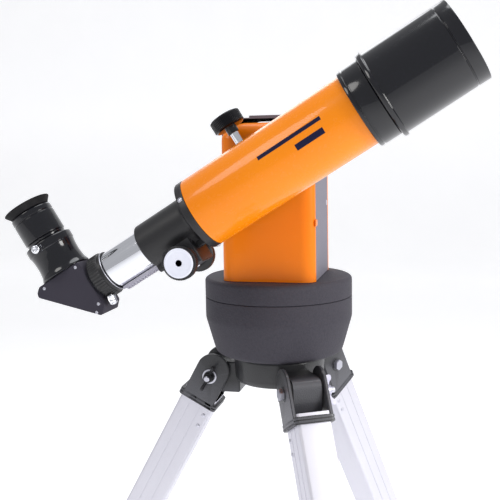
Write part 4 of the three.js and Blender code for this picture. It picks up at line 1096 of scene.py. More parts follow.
def makeEyepieceCollar():
    size = collarDetail
    low, high = extent("eyepiece_collar", eyePlace)
    flare = high.x
    bandRadius = flare - 0.9
    bandLow = high.z - size["band"]
    bore = 16.15
    profile = [
        (bore, low.z, 0.4),
        (flare, low.z, 0.7),
        (flare, low.z + 1.6, 0.8),
        (flare - 1.6, low.z + 5, 1.6),
        (size["waist"], low.z + 12, 3),
        (size["waist"] + 0.2, bandLow - 6, 2),
        (size["waist"] + 0.9, bandLow - 1.0, 0.8),
        (size["waist"] + 0.9, bandLow - 0.6, 0.2),
        (bandRadius, bandLow, 0.6),
        (bandRadius, high.z - 0.9, 0.6),
        (bandRadius - 0.8, high.z, 0.5),
        (bore, high.z, 0.5),
    ]
    piece = Piece("eyepieceCollar", eyePlace, blackGloss)
    piece.add(turned(profile, 128, steps=6))
    return piece.done("diagonal", "eyepiece_black", "eyepiece_collar")


bodyDetail = {"insert": 22.0, "barrel": 15.85}


def makeEyepieceBody():
    size = bodyDetail
    low, high = extent("eyepiece_body", eyePlace)
    radius = high.x
    shoulder = low.z + size["insert"]
    lensRadius = extent("eye_lens", eyePlace)[1].x
    barrel = size["barrel"]
    profile = [
        (barrel - 3.5, low.z, 0.3),
        (barrel, low.z, 0.5),
        (barrel, shoulder, 0.2),
        (radius - 1.6, shoulder, 0.6),
        (radius - 0.9, shoulder + 2.4, 0.5),
        (radius - 1.4, shoulder + 3.0, 0.3),
        (radius, shoulder + 3.8, 0.5),
        (radius, high.z - 7.4, 0.3),
        (radius - 0.6, high.z - 7.0, 0.2),
        (radius - 0.6, high.z - 6.2, 0.2),
        (radius, high.z - 5.8, 0.3),
        (radius, high.z - 1.4, 0.8),
        (radius - 1.4, high.z, 0.5),
        (lensRadius + 0.3, high.z, 0.5),
        (lensRadius + 0.3, high.z - 7.2),
        (lensRadius - 1.2, high.z - 7.2),
        (lensRadius - 1.2, high.z - 9.2, 0.3),
        (barrel - 3.5, high.z - 9.2, 0.3),
    ]
    piece = Piece("eyepieceBody", eyePlace, blackGloss, chrome, innerBlack)
    piece.add(turned(profile, 128, steps=4))
    piece.repaint(1, lambda centre, normal: centre.z < shoulder
                  and math.hypot(centre.x, centre.y) > barrel - 0.3)
    piece.repaint(2, lambda centre, normal: math.hypot(centre.x, centre.y) < barrel - 3)
    return piece.done("eyepiece", "eyepiece_black", "eyepiece_body")


def makeEyecup():
    low, high = extent("eyecup", eyePlace)
    flare = high.x
    base = 18.9
    profile = [
        (12.2, low.z, 0.4),
        (base, low.z, 0.4),
        (base + 0.4, low.z + 1.5, 1.0),
        (flare - 1.2, high.z - 2.2, 1.6),
        (flare, high.z - 0.5, 0.5),
        (flare - 0.9, high.z, 0.4),
        (flare - 2.4, high.z - 1.8, 1.2),
        (base - 1.6, low.z + 2.6, 1.2),
        (14.2, low.z + 1.9, 0.5),
        (12.2, low.z + 1.6, 0.4),
    ]
    return Piece("eyecup", eyePlace, rubber).add(turned(profile, 128, steps=6)).done("eyepiece", "rubber",
                                                                                     "eyecup")


def makeEyeLens():
    low, high = extent("eye_lens", eyePlace)
    radius = high.x
    crown = 1.2
    profile = [(0, low.z), (radius, low.z, 0.2), (radius, high.z - crown, 0.2)]
    profile += [(radius * k / 6, high.z - crown * (k / 6) ** 2) for k in range(5, 0, -1)] + [(0, high.z)]
    return Piece("eyeLens", eyePlace, glass).add(turned(profile, 96)).done("eyepiece", "lens_glass",
                                                                           "eye_lens")


screwDetail = {"teeth": 30, "toothDepth": 0.32, "dimple": 0.6, "head": 8.5, "headRadius": 4.0}


def makeThumbScrew(name, node, joint):
    size = screwDetail
    outward = jointAxis(joint)
    aside = Vector((0, 0, 1)).cross(outward).normalized()
    place = axesAt(jointSpot(joint), aside, outward.cross(aside), outward)
    low, high = extent(node, place)
    radius = size["headRadius"]
    headLow = high.z - size["head"]

    def knurled(r, height, angle):
        if r <= radius - 0.15:
            return r
        return r - size["toothDepth"] * (0.5 + 0.5 * math.cos(angle * size["teeth"]))

    grip = [(radius, headLow + 1.3 + (size["head"] - 2.6) * k / 3) for k in range(4)]
    profile = [(0, low.z), (1.8, low.z), (1.8, headLow), (radius - 1.1, headLow, 0.3),
               (radius - 0.3, headLow + 0.9, 0.3), *grip,
               (radius - 0.3, high.z - 0.9, 0.3), (radius - 1.2, high.z, 0.5), (1.6, high.z, 0.4),
               (1.0, high.z - size["dimple"], 0.4), (0, high.z - size["dimple"])]
    return Piece(name, place, chrome).add(turned(profile, size["teeth"] * 6, knurled, 3)).done(node,
                                                                                               "chrome", node)


# saddle

def makeSaddle():
    low, high = extent("saddle", tubePlace)
    barHigh = extent("dovetail_bar", tubePlace)[1]
    face = low.y
    halfLength = high.x
    halfHeight = -low.z
    clampHalf = 12.5
    body = lyingY(prism(oblongBetween(-halfLength, halfLength, -halfHeight, halfHeight, 5), -high.y, -face,
                        1.2, 3))
    block = slab(-clampHalf, clampHalf, face + 2, high.y - 4, 15, high.z, 1.6, 3)
    neck = 15.6
    back = barHigh.y + 0.3
    channel = lyingX(prism([(face - 2, -neck), (face, -neck), (back, -19.6), (back, 19.6), (face, neck),
                            (face - 2, neck)],
                           -halfLength - 2, halfLength + 2))
    screwAt = (tubePlace.inverted() @ jointSpot("saddle_knob_turn")) / mm
    hole = shifted(turned([(0, 0), (2.7, 0), (2.7, high.z + 2), (0, high.z + 2)], 32), shift(0, screwAt.y, 0))
    piece = Piece("saddleBlock", tubePlace, blackSatin, steel)
    piece.add(carved(joined(body, block), channel, hole))
    for x in (-22, 22):
        for z in (-20, 20):
            out = shift(x, face + 0.2, z) @ turn(90, "X")
            piece.add(slottedScrew(2.4, 1.0), out, 1)
    return piece.done("cradle", "black_satin_metal", "saddle")


clampDetail = {
    "capThickness": 13.0,
    "ribs": 60,
    "ribDepth": 0.7,
    "stubRadius": 5.6,
    "stubLength": 6.0,
    "sleeveRadius": 4.1,
    "stemRadius": 2.4,
    "seatGap": 0.3,
}


def makeSaddleKnob():
    size = clampDetail
    place = axesAt(jointSpot("saddle_knob_turn"), tubePlace.to_3x3().col[0], tubePlace.to_3x3().col[1],
                   tubePlace.to_3x3().col[2])
    low, high = extent("saddle_knob", place)
    radius = high.x
    capLow = high.z - size["capThickness"]
    stubLow = capLow - size["stubLength"]
    sleeveLow = extent("saddle", place)[1].z + size["seatGap"]

    def ribbed(r, height, angle):
        wave = 0.5 + 0.5 * math.cos(angle * size["ribs"])
        return r - size["ribDepth"] * wave ** 2 if r > radius - 0.6 else r

    band = [(radius, capLow + 1.6 + (size["capThickness"] - 3.2) * k / 3) for k in range(4)]
    cap = [(0, capLow), (size["stubRadius"] + 2, capLow, 0.5), (radius - 1.6, capLow, 0.8),
           (radius - 0.5, capLow + 1.1, 0.4), *band,
           (radius - 0.5, high.z - 1.0, 0.4), (radius - 1.8, high.z, 0.8), (0, high.z)]
    stub = [(0, stubLow), (size["stubRadius"], stubLow, 0.5), (size["stubRadius"], capLow + 0.5),
            (0, capLow + 0.5)]
    stem = [(0, low.z), (size["stemRadius"], low.z, 0.3), (size["stemRadius"], sleeveLow),
            (size["sleeveRadius"], sleeveLow, 0.2), (size["sleeveRadius"], stubLow + 0.4), (0, stubLow + 0.4)]
    piece = Piece("saddleKnob", place, blackGloss, chrome)
    piece.add(turned(cap, size["ribs"] * 6, ribbed, 3))
    piece.add(turned(stub, 64))
    piece.add(turned(stem, 48), None, 1)
    return piece.done("saddle_knob", "black_plastic", "saddle_knob")


def makeAltitudeShaft():
    place = axesAt(jointSpot("altitude"), Vector((1, 0, 0)), Vector((0, 0, -1)), Vector((0, 1, 0)))
    low, high = extent("altitude_shaft", place)
    wheel = high.x
    hub = 14
    wheelLow = extent("front_shell", place)[0].z + 18
    teeth = 60

    def toothed(r, height, angle):
        return r - 0.8 * (0.5 + 0.5 * math.cos(angle * teeth)) if r > wheel - 0.6 else r

    profile = [(0, low.z), (hub, low.z, 0.6), (hub, wheelLow), (wheel - 1, wheelLow, 0.4),
               (wheel, wheelLow + 0.8),
               (wheel, wheelLow + 4), (wheel, wheelLow + 7.2), (wheel - 1, wheelLow + 8, 0.4),
               (7, wheelLow + 8), (7, high.z, 0.6), (0, high.z)]
    return Piece("altitudeShaft", place, steel).add(turned(profile, teeth * 6, toothed, 2)).done(
        "cradle", "steel", "altitude_shaft")


# pillar

shellDetail = {
    "frontRounding": 14.0,
    "rearRounding": 6.0,
    "wall": 2.4,
    "shoulder": 10.0,
    "shoulderRun": 18.0,
    "cornerReach": 7.0,
    "topInset": 0.5,
}


def pillarPath(halfFoot, halfTop, low, high, inset):
    # the pillar's outline from foot to foot, drawn in by inset all along
    size = shellDetail
    shoulder = high - size["shoulder"]
    run = size["shoulderRun"]
    slope = math.atan2(size["shoulder"], run)
    atShoulder = inset * math.tan((math.pi / 2 - slope) / 2)
    atTop = inset * math.tan(slope / 2)
    points = [
        (-(halfFoot - inset), low),
        (-(halfTop - inset), shoulder - atShoulder, max(size["cornerReach"] - inset, 0.5)),
        (-(halfTop - run - atTop), high - inset, max(size["cornerReach"] - inset, 0.5)),
        (halfTop - run - atTop, high - inset, max(size["cornerReach"] - inset, 0.5)),
        (halfTop - inset, shoulder - atShoulder, max(size["cornerReach"] - inset, 0.5)),
        (halfFoot - inset, low),
    ]
    return softened(points, 5, closed=False)


def cushionedShell(halfFoot, halfTop, low, high, depth, wall, rounding):
    # an open-backed cover: its face on Y = -depth, rounded over into the sides, its foot cut flat
    form = bmesh.new()

    def rows(offset):
        made = []
        for inset, y in offset:
            path = pillarPath(halfFoot, halfTop, low, high, inset)
            made.append([form.verts.new((x, y, z)) for x, z in path])
        return made

    steps = 8
    outer = [(0, 0)]
    for k in range(steps + 1):
        angle = math.pi / 2 * k / steps
        outer.append((rounding * (1 - math.cos(angle)),
                      -depth + min(rounding, depth) * (1 - math.sin(angle))))
    inner = [(wall, 0)]
    for k in range(steps + 1):
        angle = math.pi / 2 * k / steps
        inner.append((wall + (rounding - wall) * (1 - math.cos(angle)),
                      -depth + wall + (min(rounding, depth) - wall) * (1 - math.sin(angle))))
    outerRows = rows(outer)
    innerRows = rows(inner)
    for group in (outerRows, innerRows):
        for first, second in zip(group, group[1:]):
            for k in range(len(first) - 1):
                form.faces.new((first[k], first[k + 1], second[k + 1], second[k]))
        form.faces.new(group[-1])
    for k in range(len(outerRows[0]) - 1):  # the rim that meets the frame
        form.faces.new((outerRows[0][k], outerRows[0][k + 1], innerRows[0][k + 1], innerRows[0][k]))
    footOuter = [row[0] for row in outerRows] + [row[-1] for row in reversed(outerRows)]
    footInner = [row[0] for row in innerRows] + [row[-1] for row in reversed(innerRows)]
    form.faces.new(footOuter + list(reversed(footInner)))
    bmesh.ops.recalc_face_normals(form, faces=form.faces)
    return form


def makeFrontShell():
    size = shellDetail
    low, high = extent("front_shell", headPlace)
    place = moved(headPlace, y=high.y)
    depth = high.y - low.y
    form = cushionedShell(high.x, high.x - size["topInset"], low.z, high.z, depth, size["wall"],
                          size["frontRounding"])
    axle = jointSpot("altitude") - headPlace.to_translation()
    hole = lyingY(turned([(0, -3), (14.5, -3), (14.5, depth + 5), (0, depth + 5)], 64))
    piece = Piece("frontShell", place, orangeShell)
    piece.add(carved(form, shifted(hole, shift(axle.x / mm, 0, axle.z / mm))))
    return piece.done("mount_head", "orange_shell", "front_shell")


def makeRearShell():
    size = shellDetail
    low, high = extent("rear_shell", headPlace)
    place = moved(headPlace, y=low.y) @ turn(180)
    depth = high.y - low.y
    doorLow, doorHigh = extent("battery_door", headPlace)
    form = cushionedShell(high.x, high.x - size["topInset"], low.z, high.z, depth, size["wall"],
                          size["rearRounding"])
    opening = slab(doorLow.x - 0.4, doorHigh.x + 0.4, -depth - 5, 2, doorLow.z - 0.4, doorHigh.z + 0.4, 0)
    piece = Piece("rearShell", place, orangeShell)
    piece.add(carved(form, opening))
    return piece.done("mount_head", "orange_shell", "rear_shell")


frameDetail = {
    "wall": 3.0,
    "stepDrop": 2.0,
    "stepAlong": -18.0,
    "screwHeight": 72.0,
    "screwFromRear": 6.0,
    "tabHeight": 57.0,
    "tabHalfWidth": 3.2,
    "tabReach": 5.0,
}


def makeCoreFrame():
    size = frameDetail
    low, high = extent("core_frame", headPlace)
    wall = size["wall"]
    halfFoot = high.x
    halfTop = halfFoot - shellDetail["topInset"]
    outer = pillarPath(halfFoot, halfTop, low.z, high.z, 0)
    inner = pillarPath(halfFoot, halfTop, low.z + wall, high.z, wall)
    body = lyingY(prism([(p.x, p.y) for p in outer], -high.y, -low.y, 0.5, 2))
    room = lyingY(prism([(p.x, p.y) for p in inner], -high.y - 2, -low.y + 2, 0))
    switchLow, switchHigh = extent("power_switch", headPlace)
    tools = [room]
    tools.append(slab(-halfFoot - 2, size["stepAlong"], low.y - 2, high.y + 2, high.z - size["stepDrop"],
                      high.z + 2, 0))
    tools.append(slab(-halfFoot - 2, -halfFoot + wall + 2, switchLow.y - 0.4, switchHigh.y + 0.4,
                      switchLow.z - 1, switchHigh.z + 1, 0))
    for y in (-18, 2):
        tools.append(slab(-halfFoot - 2, -halfFoot + wall + 2, y, y + 12, 54, 65, 0))
    tools.append(shifted(lyingX(turned([(0, -2), (4.2, -2), (4.2, wall + 4), (0, wall + 4)], 40)),
                         shift(-halfFoot, -28, 60)))
    piece = Piece("coreFrame", headPlace, paleGrain, steel, innerBlack, orangeShell)
    piece.add(carved(body, *tools))
    middle = (low.z + high.z) / 2
    # the frame's inward-facing walls get flat black: painted shade in the pillar's hollow
    piece.repaint(2, lambda centre, normal: low.y + 1 < centre.y < high.y - 1
                  and normal.x * centre.x + normal.z * (centre.z - middle) < -0.1)
    for side in (-1, 1):
        out = shift(side * (halfFoot - 0.3), high.y - size["screwFromRear"],
                    size["screwHeight"]) @ turn(90 * side, "Y")
        piece.add(slottedScrew(2.6, 0.9), out, 1)
        tab = oblong(size["tabHalfWidth"], size["tabReach"], 2.4)
        lying = shift(side * (halfFoot - 0.2), low.y, size["tabHeight"]) @ turn(90 * side, "Y")
        piece.add(prism(tab, -0.4, 1.0, 0.4), lying, 3)
    return piece.done("mount_head", "grey_texture", "core_frame")


def makeSocketLiners():
    # what sits in the flank's openings: two cable sockets and a power inlet
    high = extent("core_frame", headPlace)[1]
    wall = -high.x
    piece = Piece("flankSockets", headPlace, blackMoulding, brass, steel)
    for y in (-12, 8):
        piece.add(carved(slab(wall + 0.4, wall + 9, y - 5.7, y + 5.7, 54.3, 64.7, 0.3),
                         slab(wall - 1, wall + 7.5, y - 4.6, y + 4.6, 56, 62.6, 0)))
        for k in range(6):
            at = y - 3 + k * 1.2
            piece.add(slab(wall + 1.4, wall + 8, at - 0.25, at + 0.25, 62.0, 62.5, 0.05, 1), None, 1)
    ring = lyingX(turned([(2.6, 0.4, 0.2), (3.9, 0.4, 0.3), (3.9, 9, 0.2), (2.6, 9, 0.2)], 40))
    piece.add(ring, shift(wall, -28, 60))
    pin = lyingX(turned([(0, 1.4), (0.7, 1.6, 0.2), (0.7, 9), (0, 9)], 20))
    piece.add(pin, shift(wall, -28, 60), 1)
    back = lyingX(turned([(0, 8), (3.9, 8), (3.9, 10), (0, 10)], 32))
    piece.add(back, shift(wall, -28, 60))
    return piece.done("mount_head", "black_plastic")


def makeBatteryDoor():
    low, high = extent("battery_door", headPlace)
    thickness = high.y - low.y - 1.2
    middle = (low.x + high.x) / 2
    piece = Piece("batteryDoor", moved(headPlace, y=low.y), orangeShell)
    half = (high.x - low.x) / 2
    panel = lyingY(prism(oblongBetween(-half, half, low.z, high.z, 1.5), -thickness, 0, 0.5, 2))
    piece.add(panel, shift(middle, 0, 0))
    for k in range(4):  # grip ridges
        z = high.z - 14 + k * 2.4
        piece.add(slab(middle - 9, middle + 9, thickness - 0.4, thickness + 1.1, z, z + 1.1, 0.4))
    return piece.done("battery_door", "orange_shell", "battery_door")


def makePowerSwitch():
    pivot = Matrix.Translation(jointSpot("power_switch_rock"))
    lo, hi = extent("power_switch", pivot)
    section = softened([(lo.x, lo.z + 0.2, 0.8), (lo.x + 1.3, 0, 4), (lo.x, hi.z - 0.2, 0.8),
                        (hi.x, hi.z - 1.4, 0.6),
                        (hi.x, lo.z + 1.4, 0.6)], 4)
    piece = Piece("powerRocker", pivot, blackMoulding, enamel)
    piece.add(lyingY(prism(section, lo.y, hi.y, 0.3, 2)))
    dot = lyingX(turned([(0, -0.25), (1.3, -0.25, 0.2), (1.3, 0.6), (0, 0.6)], 24))
    piece.add(dot, shift(lo.x + 0.75, 0, hi.z - 4.2) @ turn(8, "Y"), 1)
    return piece.done("power_switch", "black_plastic", "power_switch")


# turntable and base

turntableDetail = {"bevel": 3.0, "bevelEase": 1.0, "skirt": 4.0, "plate": 8.0}


def makeTurntable():
    size = turntableDetail
    low, high = extent("turntable", headPlace)
    radius = high.x
    edge = extent("base_bowl", headPlace)[1].z + 0.4
    bevel = size["bevel"]
    sleeve = 22
    profile = [
        (0, high.z),
        (radius - bevel, high.z, size["bevelEase"]),
        (radius - 0.6, high.z - bevel * 0.55, 1.0),
        (radius, high.z - bevel * 1.15, 0.8),
        (radius, edge, 0.9),
        (radius - size["skirt"], edge, 0.6),
        (radius - size["skirt"], high.z - size["plate"], 1.5),
        (sleeve, high.z - size["plate"], 1.5),
        (sleeve, low.z, 0.6),
        (sleeve - 4.6, low.z, 0.6),
        (sleeve - 4.6, high.z - size["plate"], 1.0),
        (0, high.z - size["plate"]),
    ]
    return Piece("turntable", headPlace, greyGrain).add(turned(profile, 192, steps=5)).done(
        "mount_head", "grey_texture", "turntable")


bowlDetail = {"straight": 21.0, "waist": 66.0, "foot": 56.0, "footHeight": 7.0, "wall": 4.0, "floor": 6.0,
              "hole": 5.1}


def makeBaseBowl():
    size = bowlDetail
    low, high = extent("base_bowl", headPlace)
    radius = high.x
    ledge = high.z - size["straight"]
    profile = [
        (size["hole"], low.z, 0.5),
        (size["foot"], low.z, 1.5),
        (size["waist"] - 1.2, low.z + size["footHeight"] * 0.55, 5.0),
        (size["waist"] + 0.6, low.z + size["footHeight"] + 2, 3.0),
        (radius, ledge, 2.5),
        (radius, high.z, 0.9),
        (radius - size["wall"], high.z, 0.6),
        (radius - size["wall"], ledge, 2.0),
        (size["waist"] - size["wall"], low.z + size["floor"], 2.0),
        (17, low.z + size["floor"], 1.5),
        (17, -20, 0.8),
        (size["hole"], -20, 0.8),
    ]
    return Piece("baseBowl", headPlace, greyGrain).add(turned(profile, 192, steps=6)).done(
        "base", "grey_texture", "base_bowl")


# tripod

headDetail = {"lugRounding": 8.0, "edge": 1.2}


def makeTripodHead():
    size = headDetail
    low, high = extent("tripod_head", headPlace)
    hinge = (jointSpot("leg_fold_left") - headPlace.to_translation()) / mm
    hingeRadius = math.hypot(hinge.x, hinge.y)
    hub = 47
    base = high.z - 28
    parts = [turned([(0, base), (hub - 3, base, 1.5), (hub - 1, base + 4, 1.5), (hub, high.z - 3, 1.5),
                     (hub - 2, high.z, 1), (0, high.z)], 128)]
    tools = [turned([(0, low.z - 5), (5.1, low.z - 5), (5.1, high.z + 5), (0, high.z + 5)], 48)]
    outer = hingeRadius + 13
    for name in legNames:
        spot = jointSpot(f"leg_fold_{name}") - headPlace.to_translation()
        facing = turn(math.degrees(math.atan2(spot.y, spot.x)))
        section = softened([(hub - 8, low.z), (outer, low.z, 3),
                            (outer, hinge.z + 15, size["lugRounding"] * 1.3), (hub - 8, hinge.z + 15)], 6)
        lug = lyingY(prism(section, -15.5, 15.5, size["edge"], 3))
        parts.append(shifted(lug, facing))
        drill = lyingY(turned([(0, -20), (3.4, -20), (3.4, 20), (0, 20)], 32))
        tools.append(shifted(drill, facing @ shift(hingeRadius, 0, hinge.z)))
        web = lyingY(prism([(hub - 6, low.z - 2), (outer - 9, low.z - 2), (outer - 9, hinge.z - 9),
                            (hub + 4, hinge.z + 4)], -6, 6))
        tools.append(shifted(web, facing))
    piece = Piece("tripodHead", headPlace, blackWrinkle)
    piece.add(carved(joined(parts[0], *parts[1:]), *tools))
    return piece.done("base", "black_texture", "tripod_head")


mountKnobDetail = {"lobes": 8, "lobeDepth": 1.6}


def makeMountingKnob():
    size = mountKnobDetail
    low, high = extent("mounting_knob", headPlace)
    radius = high.x
    top = low.z + 9

    def lobed(r, height, angle):
        if r <= radius - 2.5 or height >= top:
            return r
        return r - size["lobeDepth"] * (0.5 + 0.5 * math.cos(angle * size["lobes"])) ** 3

    cap = [(0, low.z), (radius * 0.45, low.z, 0.8), (radius - 4, low.z + 1.6, 2),
           (radius - 0.2, low.z + 4.6, 1), (radius, low.z + 6),
           (radius, top - 1, 0.8), (radius - 1.2, top, 0.5), (0, top)]
    bolt = [(0, top - 0.5), (4.8, top - 0.5), (4.8, high.z - 1, 0.6), (0, high.z)]
    piece = Piece("mountingKnob", headPlace, blackMoulding, steel)
    piece.add(turned(cap, 192, lobed, 4))
    piece.add(turned(bolt, 32), None, 1)
    return piece.done("mounting_knob", "black_plastic", "mounting_knob")


clevisDetail = {"cheek": 3.3, "collar": 7.0, "edge": 0.6}


def makeClevis(name):
    size = clevisDetail
    place = legPlaces[name]
    low, high = extent(f"clevis_{name}", place)
    cheek = size["cheek"]
    radius = (extent(f"upper_leg_{name}", place)[1].x - 4) - 1
    rise = high.z - radius
    innerX = radius + 1
    innerY = 16.8
    outline = [(radius, low.z), *arc((0, rise), radius, 0, 180, 28), (-radius, low.z)]
    piece = Piece(f"clevis_{name}", place, blackWrinkle, zinc)
    drill = lyingY(turned([(0, -30), (3.3, -30), (3.3, 30), (0, 30)], 32))
    for side in (-1, 1):
        y0, y1 = sorted((side * high.y, side * (high.y - cheek)))
        plate = lyingY(prism(outline, -y1, -y0, size["edge"], 2))
        piece.add(carved(plate, drill.copy()))
        boss = lyingY(turned([(3.4, 0), (7.2, 0, 0.3), (7.2, 0.3, 0.3), (3.4, 0.3)], 40))
        piece.add(boss, shift(0, side * high.y - 0.15, 0))
    drill.free()
    ring = prism(oblong(high.x, high.y, 4), low.z, low.z + size["collar"], 0.8, 2)
    hollow = prism(oblong(innerX + 0.3, innerY + 0.3, 3), low.z - 2, low.z + size["collar"] + 2)
    groove = carved(prism(oblong(high.x + 2, high.y + 2, 5), low.z + 2.9, low.z + 4.1),
                    prism(oblong(high.x - 0.9, high.y - 0.9, 3.4), low.z + 2, low.z + 5))
    piece.add(carved(ring, hollow, groove))
    return piece.done(f"leg_{name}", "black_texture", f"clevis_{name}")


wingDetail = {"hub": 6.0, "thickness": 3.0}


def makeWingBolt(name):
    size = wingDetail
    leg = legPlaces[name].to_3x3()
    place = axesAt(jointSpot(f"wing_bolt_turn_{name}"), leg.col[2], leg.col[0], leg.col[1])
    high = extent(f"wing_bolt_{name}", place)[1]
    reach = extent(f"clevis_{name}", legPlaces[name])[1].y + 0.3
    headLow = -(reach + 4.5)
    # the hub and wings are black moulding on the left and rear legs and pale zinc on the front leg: painted
    # shade on the two shaded wing nuts, which are all the same metal
    piece = Piece(f"wingBolt_{name}", place, steel, blackMoulding if name != "front" else zinc)
    shaft = [(0, headLow + 1), (3, headLow + 1), (3, high.z - 0.8, 0.5), (2.2, high.z), (0, high.z)]
    piece.add(turned(shaft, 32))
    hexagon = [(6 * math.cos(math.radians(a)), 6 * math.sin(math.radians(a))) for a in around(6, 30)]
    piece.add(prism(hexagon, headLow, -reach, 0.5, 2))
    washer = [(3.2, reach), (7.6, reach, 0.3), (7.6, reach + 1, 0.3), (3.2, reach + 1)]
    piece.add(turned(washer, 48))
    hub = [(3.1, reach + 1, 0.3), (size["hub"], reach + 1, 0.6), (size["hub"] - 1.2, reach + 8, 1.2),
           (3.1, reach + 8, 0.3)]
    piece.add(turned(hub, 48), None, 1)
    for side in (-1, 1):
        blade = softened([(2, reach + 1.6), (9, reach + 3.2, 2), (14.6, reach + 4.5, 3),
                          (15, reach + 10.4, 2.4),
                          (10.5, reach + 10.8, 2.4), (7.5, reach + 7.4, 2), (2, reach + 7)], 5)
        form = lyingY(prism(blade, -size["thickness"] / 2, size["thickness"] / 2, 0.8, 2))
        piece.add(form, turn(0 if side > 0 else 180), 1)
    return piece.done(f"wing_bolt_{name}", "steel", f"wing_bolt_{name}")


legDetail = {"corner": 3.0, "wall": 1.6, "lock": 34.0, "lockWall": 4.0, "rivet": 2.2}


def makeUpperLeg(name):
    size = legDetail
    place = legPlaces[name]
    low, high = extent(f"upper_leg_{name}", place)
    halfX = high.x - size["lockWall"]
    halfY = high.y - size["lockWall"]
    wall = size["wall"]
    lockTop = low.z + size["lock"]
    forkAt = (place.inverted() @ jointSpot(f"brace_fold_{name}")) / mm
    piece = Piece(f"upperLeg_{name}", place, legMetal, blackMoulding, innerBlack, steel)
    skin = prism(oblong(halfX, halfY, size["corner"]), lockTop - 4, high.z, 0.25, 1)
    hollow = prism(oblong(halfX - wall, halfY - wall, size["corner"] - 1), low.z, high.z + 2)
    grooves = []
    for side in (-1, 1):  # shallow lines along the narrow sides
        for x in (-6, 6):
            grooves.append(slab(x - 0.5, x + 0.5, side * halfY - 0.35, side * halfY + 0.35, low.z,
                                high.z + 2, 0))
    piece.add(carved(skin, hollow, *grooves))
    # the extrusion's inner walls get flat black: painted shade inside the hollow leg
    piece.repaint(2, lambda centre, normal: abs(centre.x) < halfX - wall + 0.1
                  and abs(centre.y) < halfY - wall + 0.1)
    lock = prism(oblong(halfX + size["lockWall"], halfY + size["lockWall"], 5), low.z, lockTop, 1.4, 3)
    mouth = prism(oblong(halfX - wall, halfY - wall, 2), low.z - 2, lockTop - 6)
    sleeve = prism(oblong(halfX + 0.05, halfY + 0.05, size["corner"]), lockTop - 6, lockTop + 2)
    screwHole = shifted(lyingX(turned([(0, 0), (3.4, 0), (3.4, 40), (0, 40)], 32)), shift(0, 0, low.z + 17))
    bands = [carved(prism(oblong(halfX + 7, halfY + 7, 7), z, z + 1.2),
                    prism(oblong(halfX + 3.3, halfY + 3.3, 4.4), z - 1, z + 2)) for z in (low.z + 5,
                                                                                          low.z + 28)]
    piece.add(carved(lock, mouth, sleeve, screwHole, *bands), None, 1)
    gap = 2.7
    fork = slab(forkAt.x - 5.5, -halfX + 0.2, -gap - 3, gap + 3, forkAt.z - 8, forkAt.z + 8, 1.2, 3)
    slot = slab(forkAt.x - 8, -halfX - 0.6, -gap, gap, forkAt.z - 12, forkAt.z + 12, 0)
    piece.add(carved(fork, slot), None, 1)
    for side in (-1, 1):
        rivet = turned([(0, -0.4), (3, -0.4), (3, 0.5, 0.4), (1.6, 1.3, 0.6), (0, 1.3)], 32)
        piece.add(rivet, shift(forkAt.x, side * (gap + 3), forkAt.z) @ turn(-90 * side, "X"), 3)
    for z in (high.z - 20, high.z - 33):  # rivets under the clevis
        for side in (-1, 1):
            rivet = turned([(0, -0.4), (size["rivet"], -0.4), (size["rivet"], 0.4, 0.4), (1.2, 1.0, 0.5),
                            (0, 1.0)], 28)
            piece.add(rivet, shift(-halfX + 5.5, side * halfY, z) @ turn(-90 * side, "X"), 3)
    return piece.done(f"leg_{name}", "leg_aluminium", f"upper_leg_{name}")


def makeLowerLeg(name):
    place = legPlaces[name]
    low, high = extent(f"lower_leg_{name}", place)
    piece = Piece(f"lowerLeg_{name}", place, legMetal, innerBlack)
    skin = prism(oblong(high.x, high.y, 2.2), low.z, high.z, 0.3, 1)
    hollow = prism(oblong(high.x - 1.5, high.y - 1.5, 1.6), low.z - 2, high.z + 2)
    grooves = []
    for side in (-1, 1):
        grooves.append(slab(-0.8, 0.8, side * high.y - 0.4, side * high.y + 0.4, low.z - 2, high.z + 2, 0))
    piece.add(carved(skin, hollow, *grooves))
    # the extrusion's inner walls get flat black: painted shade inside the hollow leg
    piece.repaint(1, lambda centre, normal: abs(centre.x) < high.x - 1.4 and abs(centre.y) < high.y - 1.4)
    return piece.done(f"lower_leg_{name}", "leg_aluminium", f"lower_leg_{name}")


footDetail = {"corner": 4.0, "treadEvery": 4.0, "treadDepth": 1.2}


def makeFoot(name):
    place = legPlaces[name]
    low, high = extent(f"foot_{name}", place)
    legLow, legHigh = extent(f"lower_leg_{name}", place)
    boot = prism(oblong(high.x, high.y, footDetail["corner"]), low.z - 20, high.z, 1.2, 3)
    socket = prism(oblong(legHigh.x + 0.3, legHigh.y + 0.3, 2.2), legLow.z - 0.3, high.z + 2)
    bands = [carved(prism(oblong(high.x + 2, high.y + 2, 5), z, z + 1.4),
                    prism(oblong(high.x - 0.8, high.y - 0.8, 3.6), z - 1, z + 3)) for z in (high.z - 5,
                                                                                            high.z - 9,
                                                                                            high.z - 13)]
    form = shifted(carved(boot, socket, *bands), Matrix.Scale(mm, 4))
    form.transform(place)
    form.transform(Matrix.Scale(1 / mm, 4))
    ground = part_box(f"foot_{name}")[0].z / mm
    centre = (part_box(f"foot_{name}")[0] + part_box(f"foot_{name}")[1]) / 2 / mm
    below = slab(centre.x - 90, centre.x + 90, centre.y - 90, centre.y + 90, ground - 90, ground, 0)
    treads = []
    for k in range(-9, 10):
        at = centre.x + k * footDetail["treadEvery"]
        treads.append(slab(at - 0.8, at + 0.8, centre.y - 60, centre.y + 60, ground - 1,
                           ground + footDetail["treadDepth"], 0))
    piece = Piece(f"foot_{name}", Matrix(), rubber)
    piece.add(carved(carved(form, below), *treads))
    return piece.done(f"lower_leg_{name}", "rubber", f"foot_{name}")


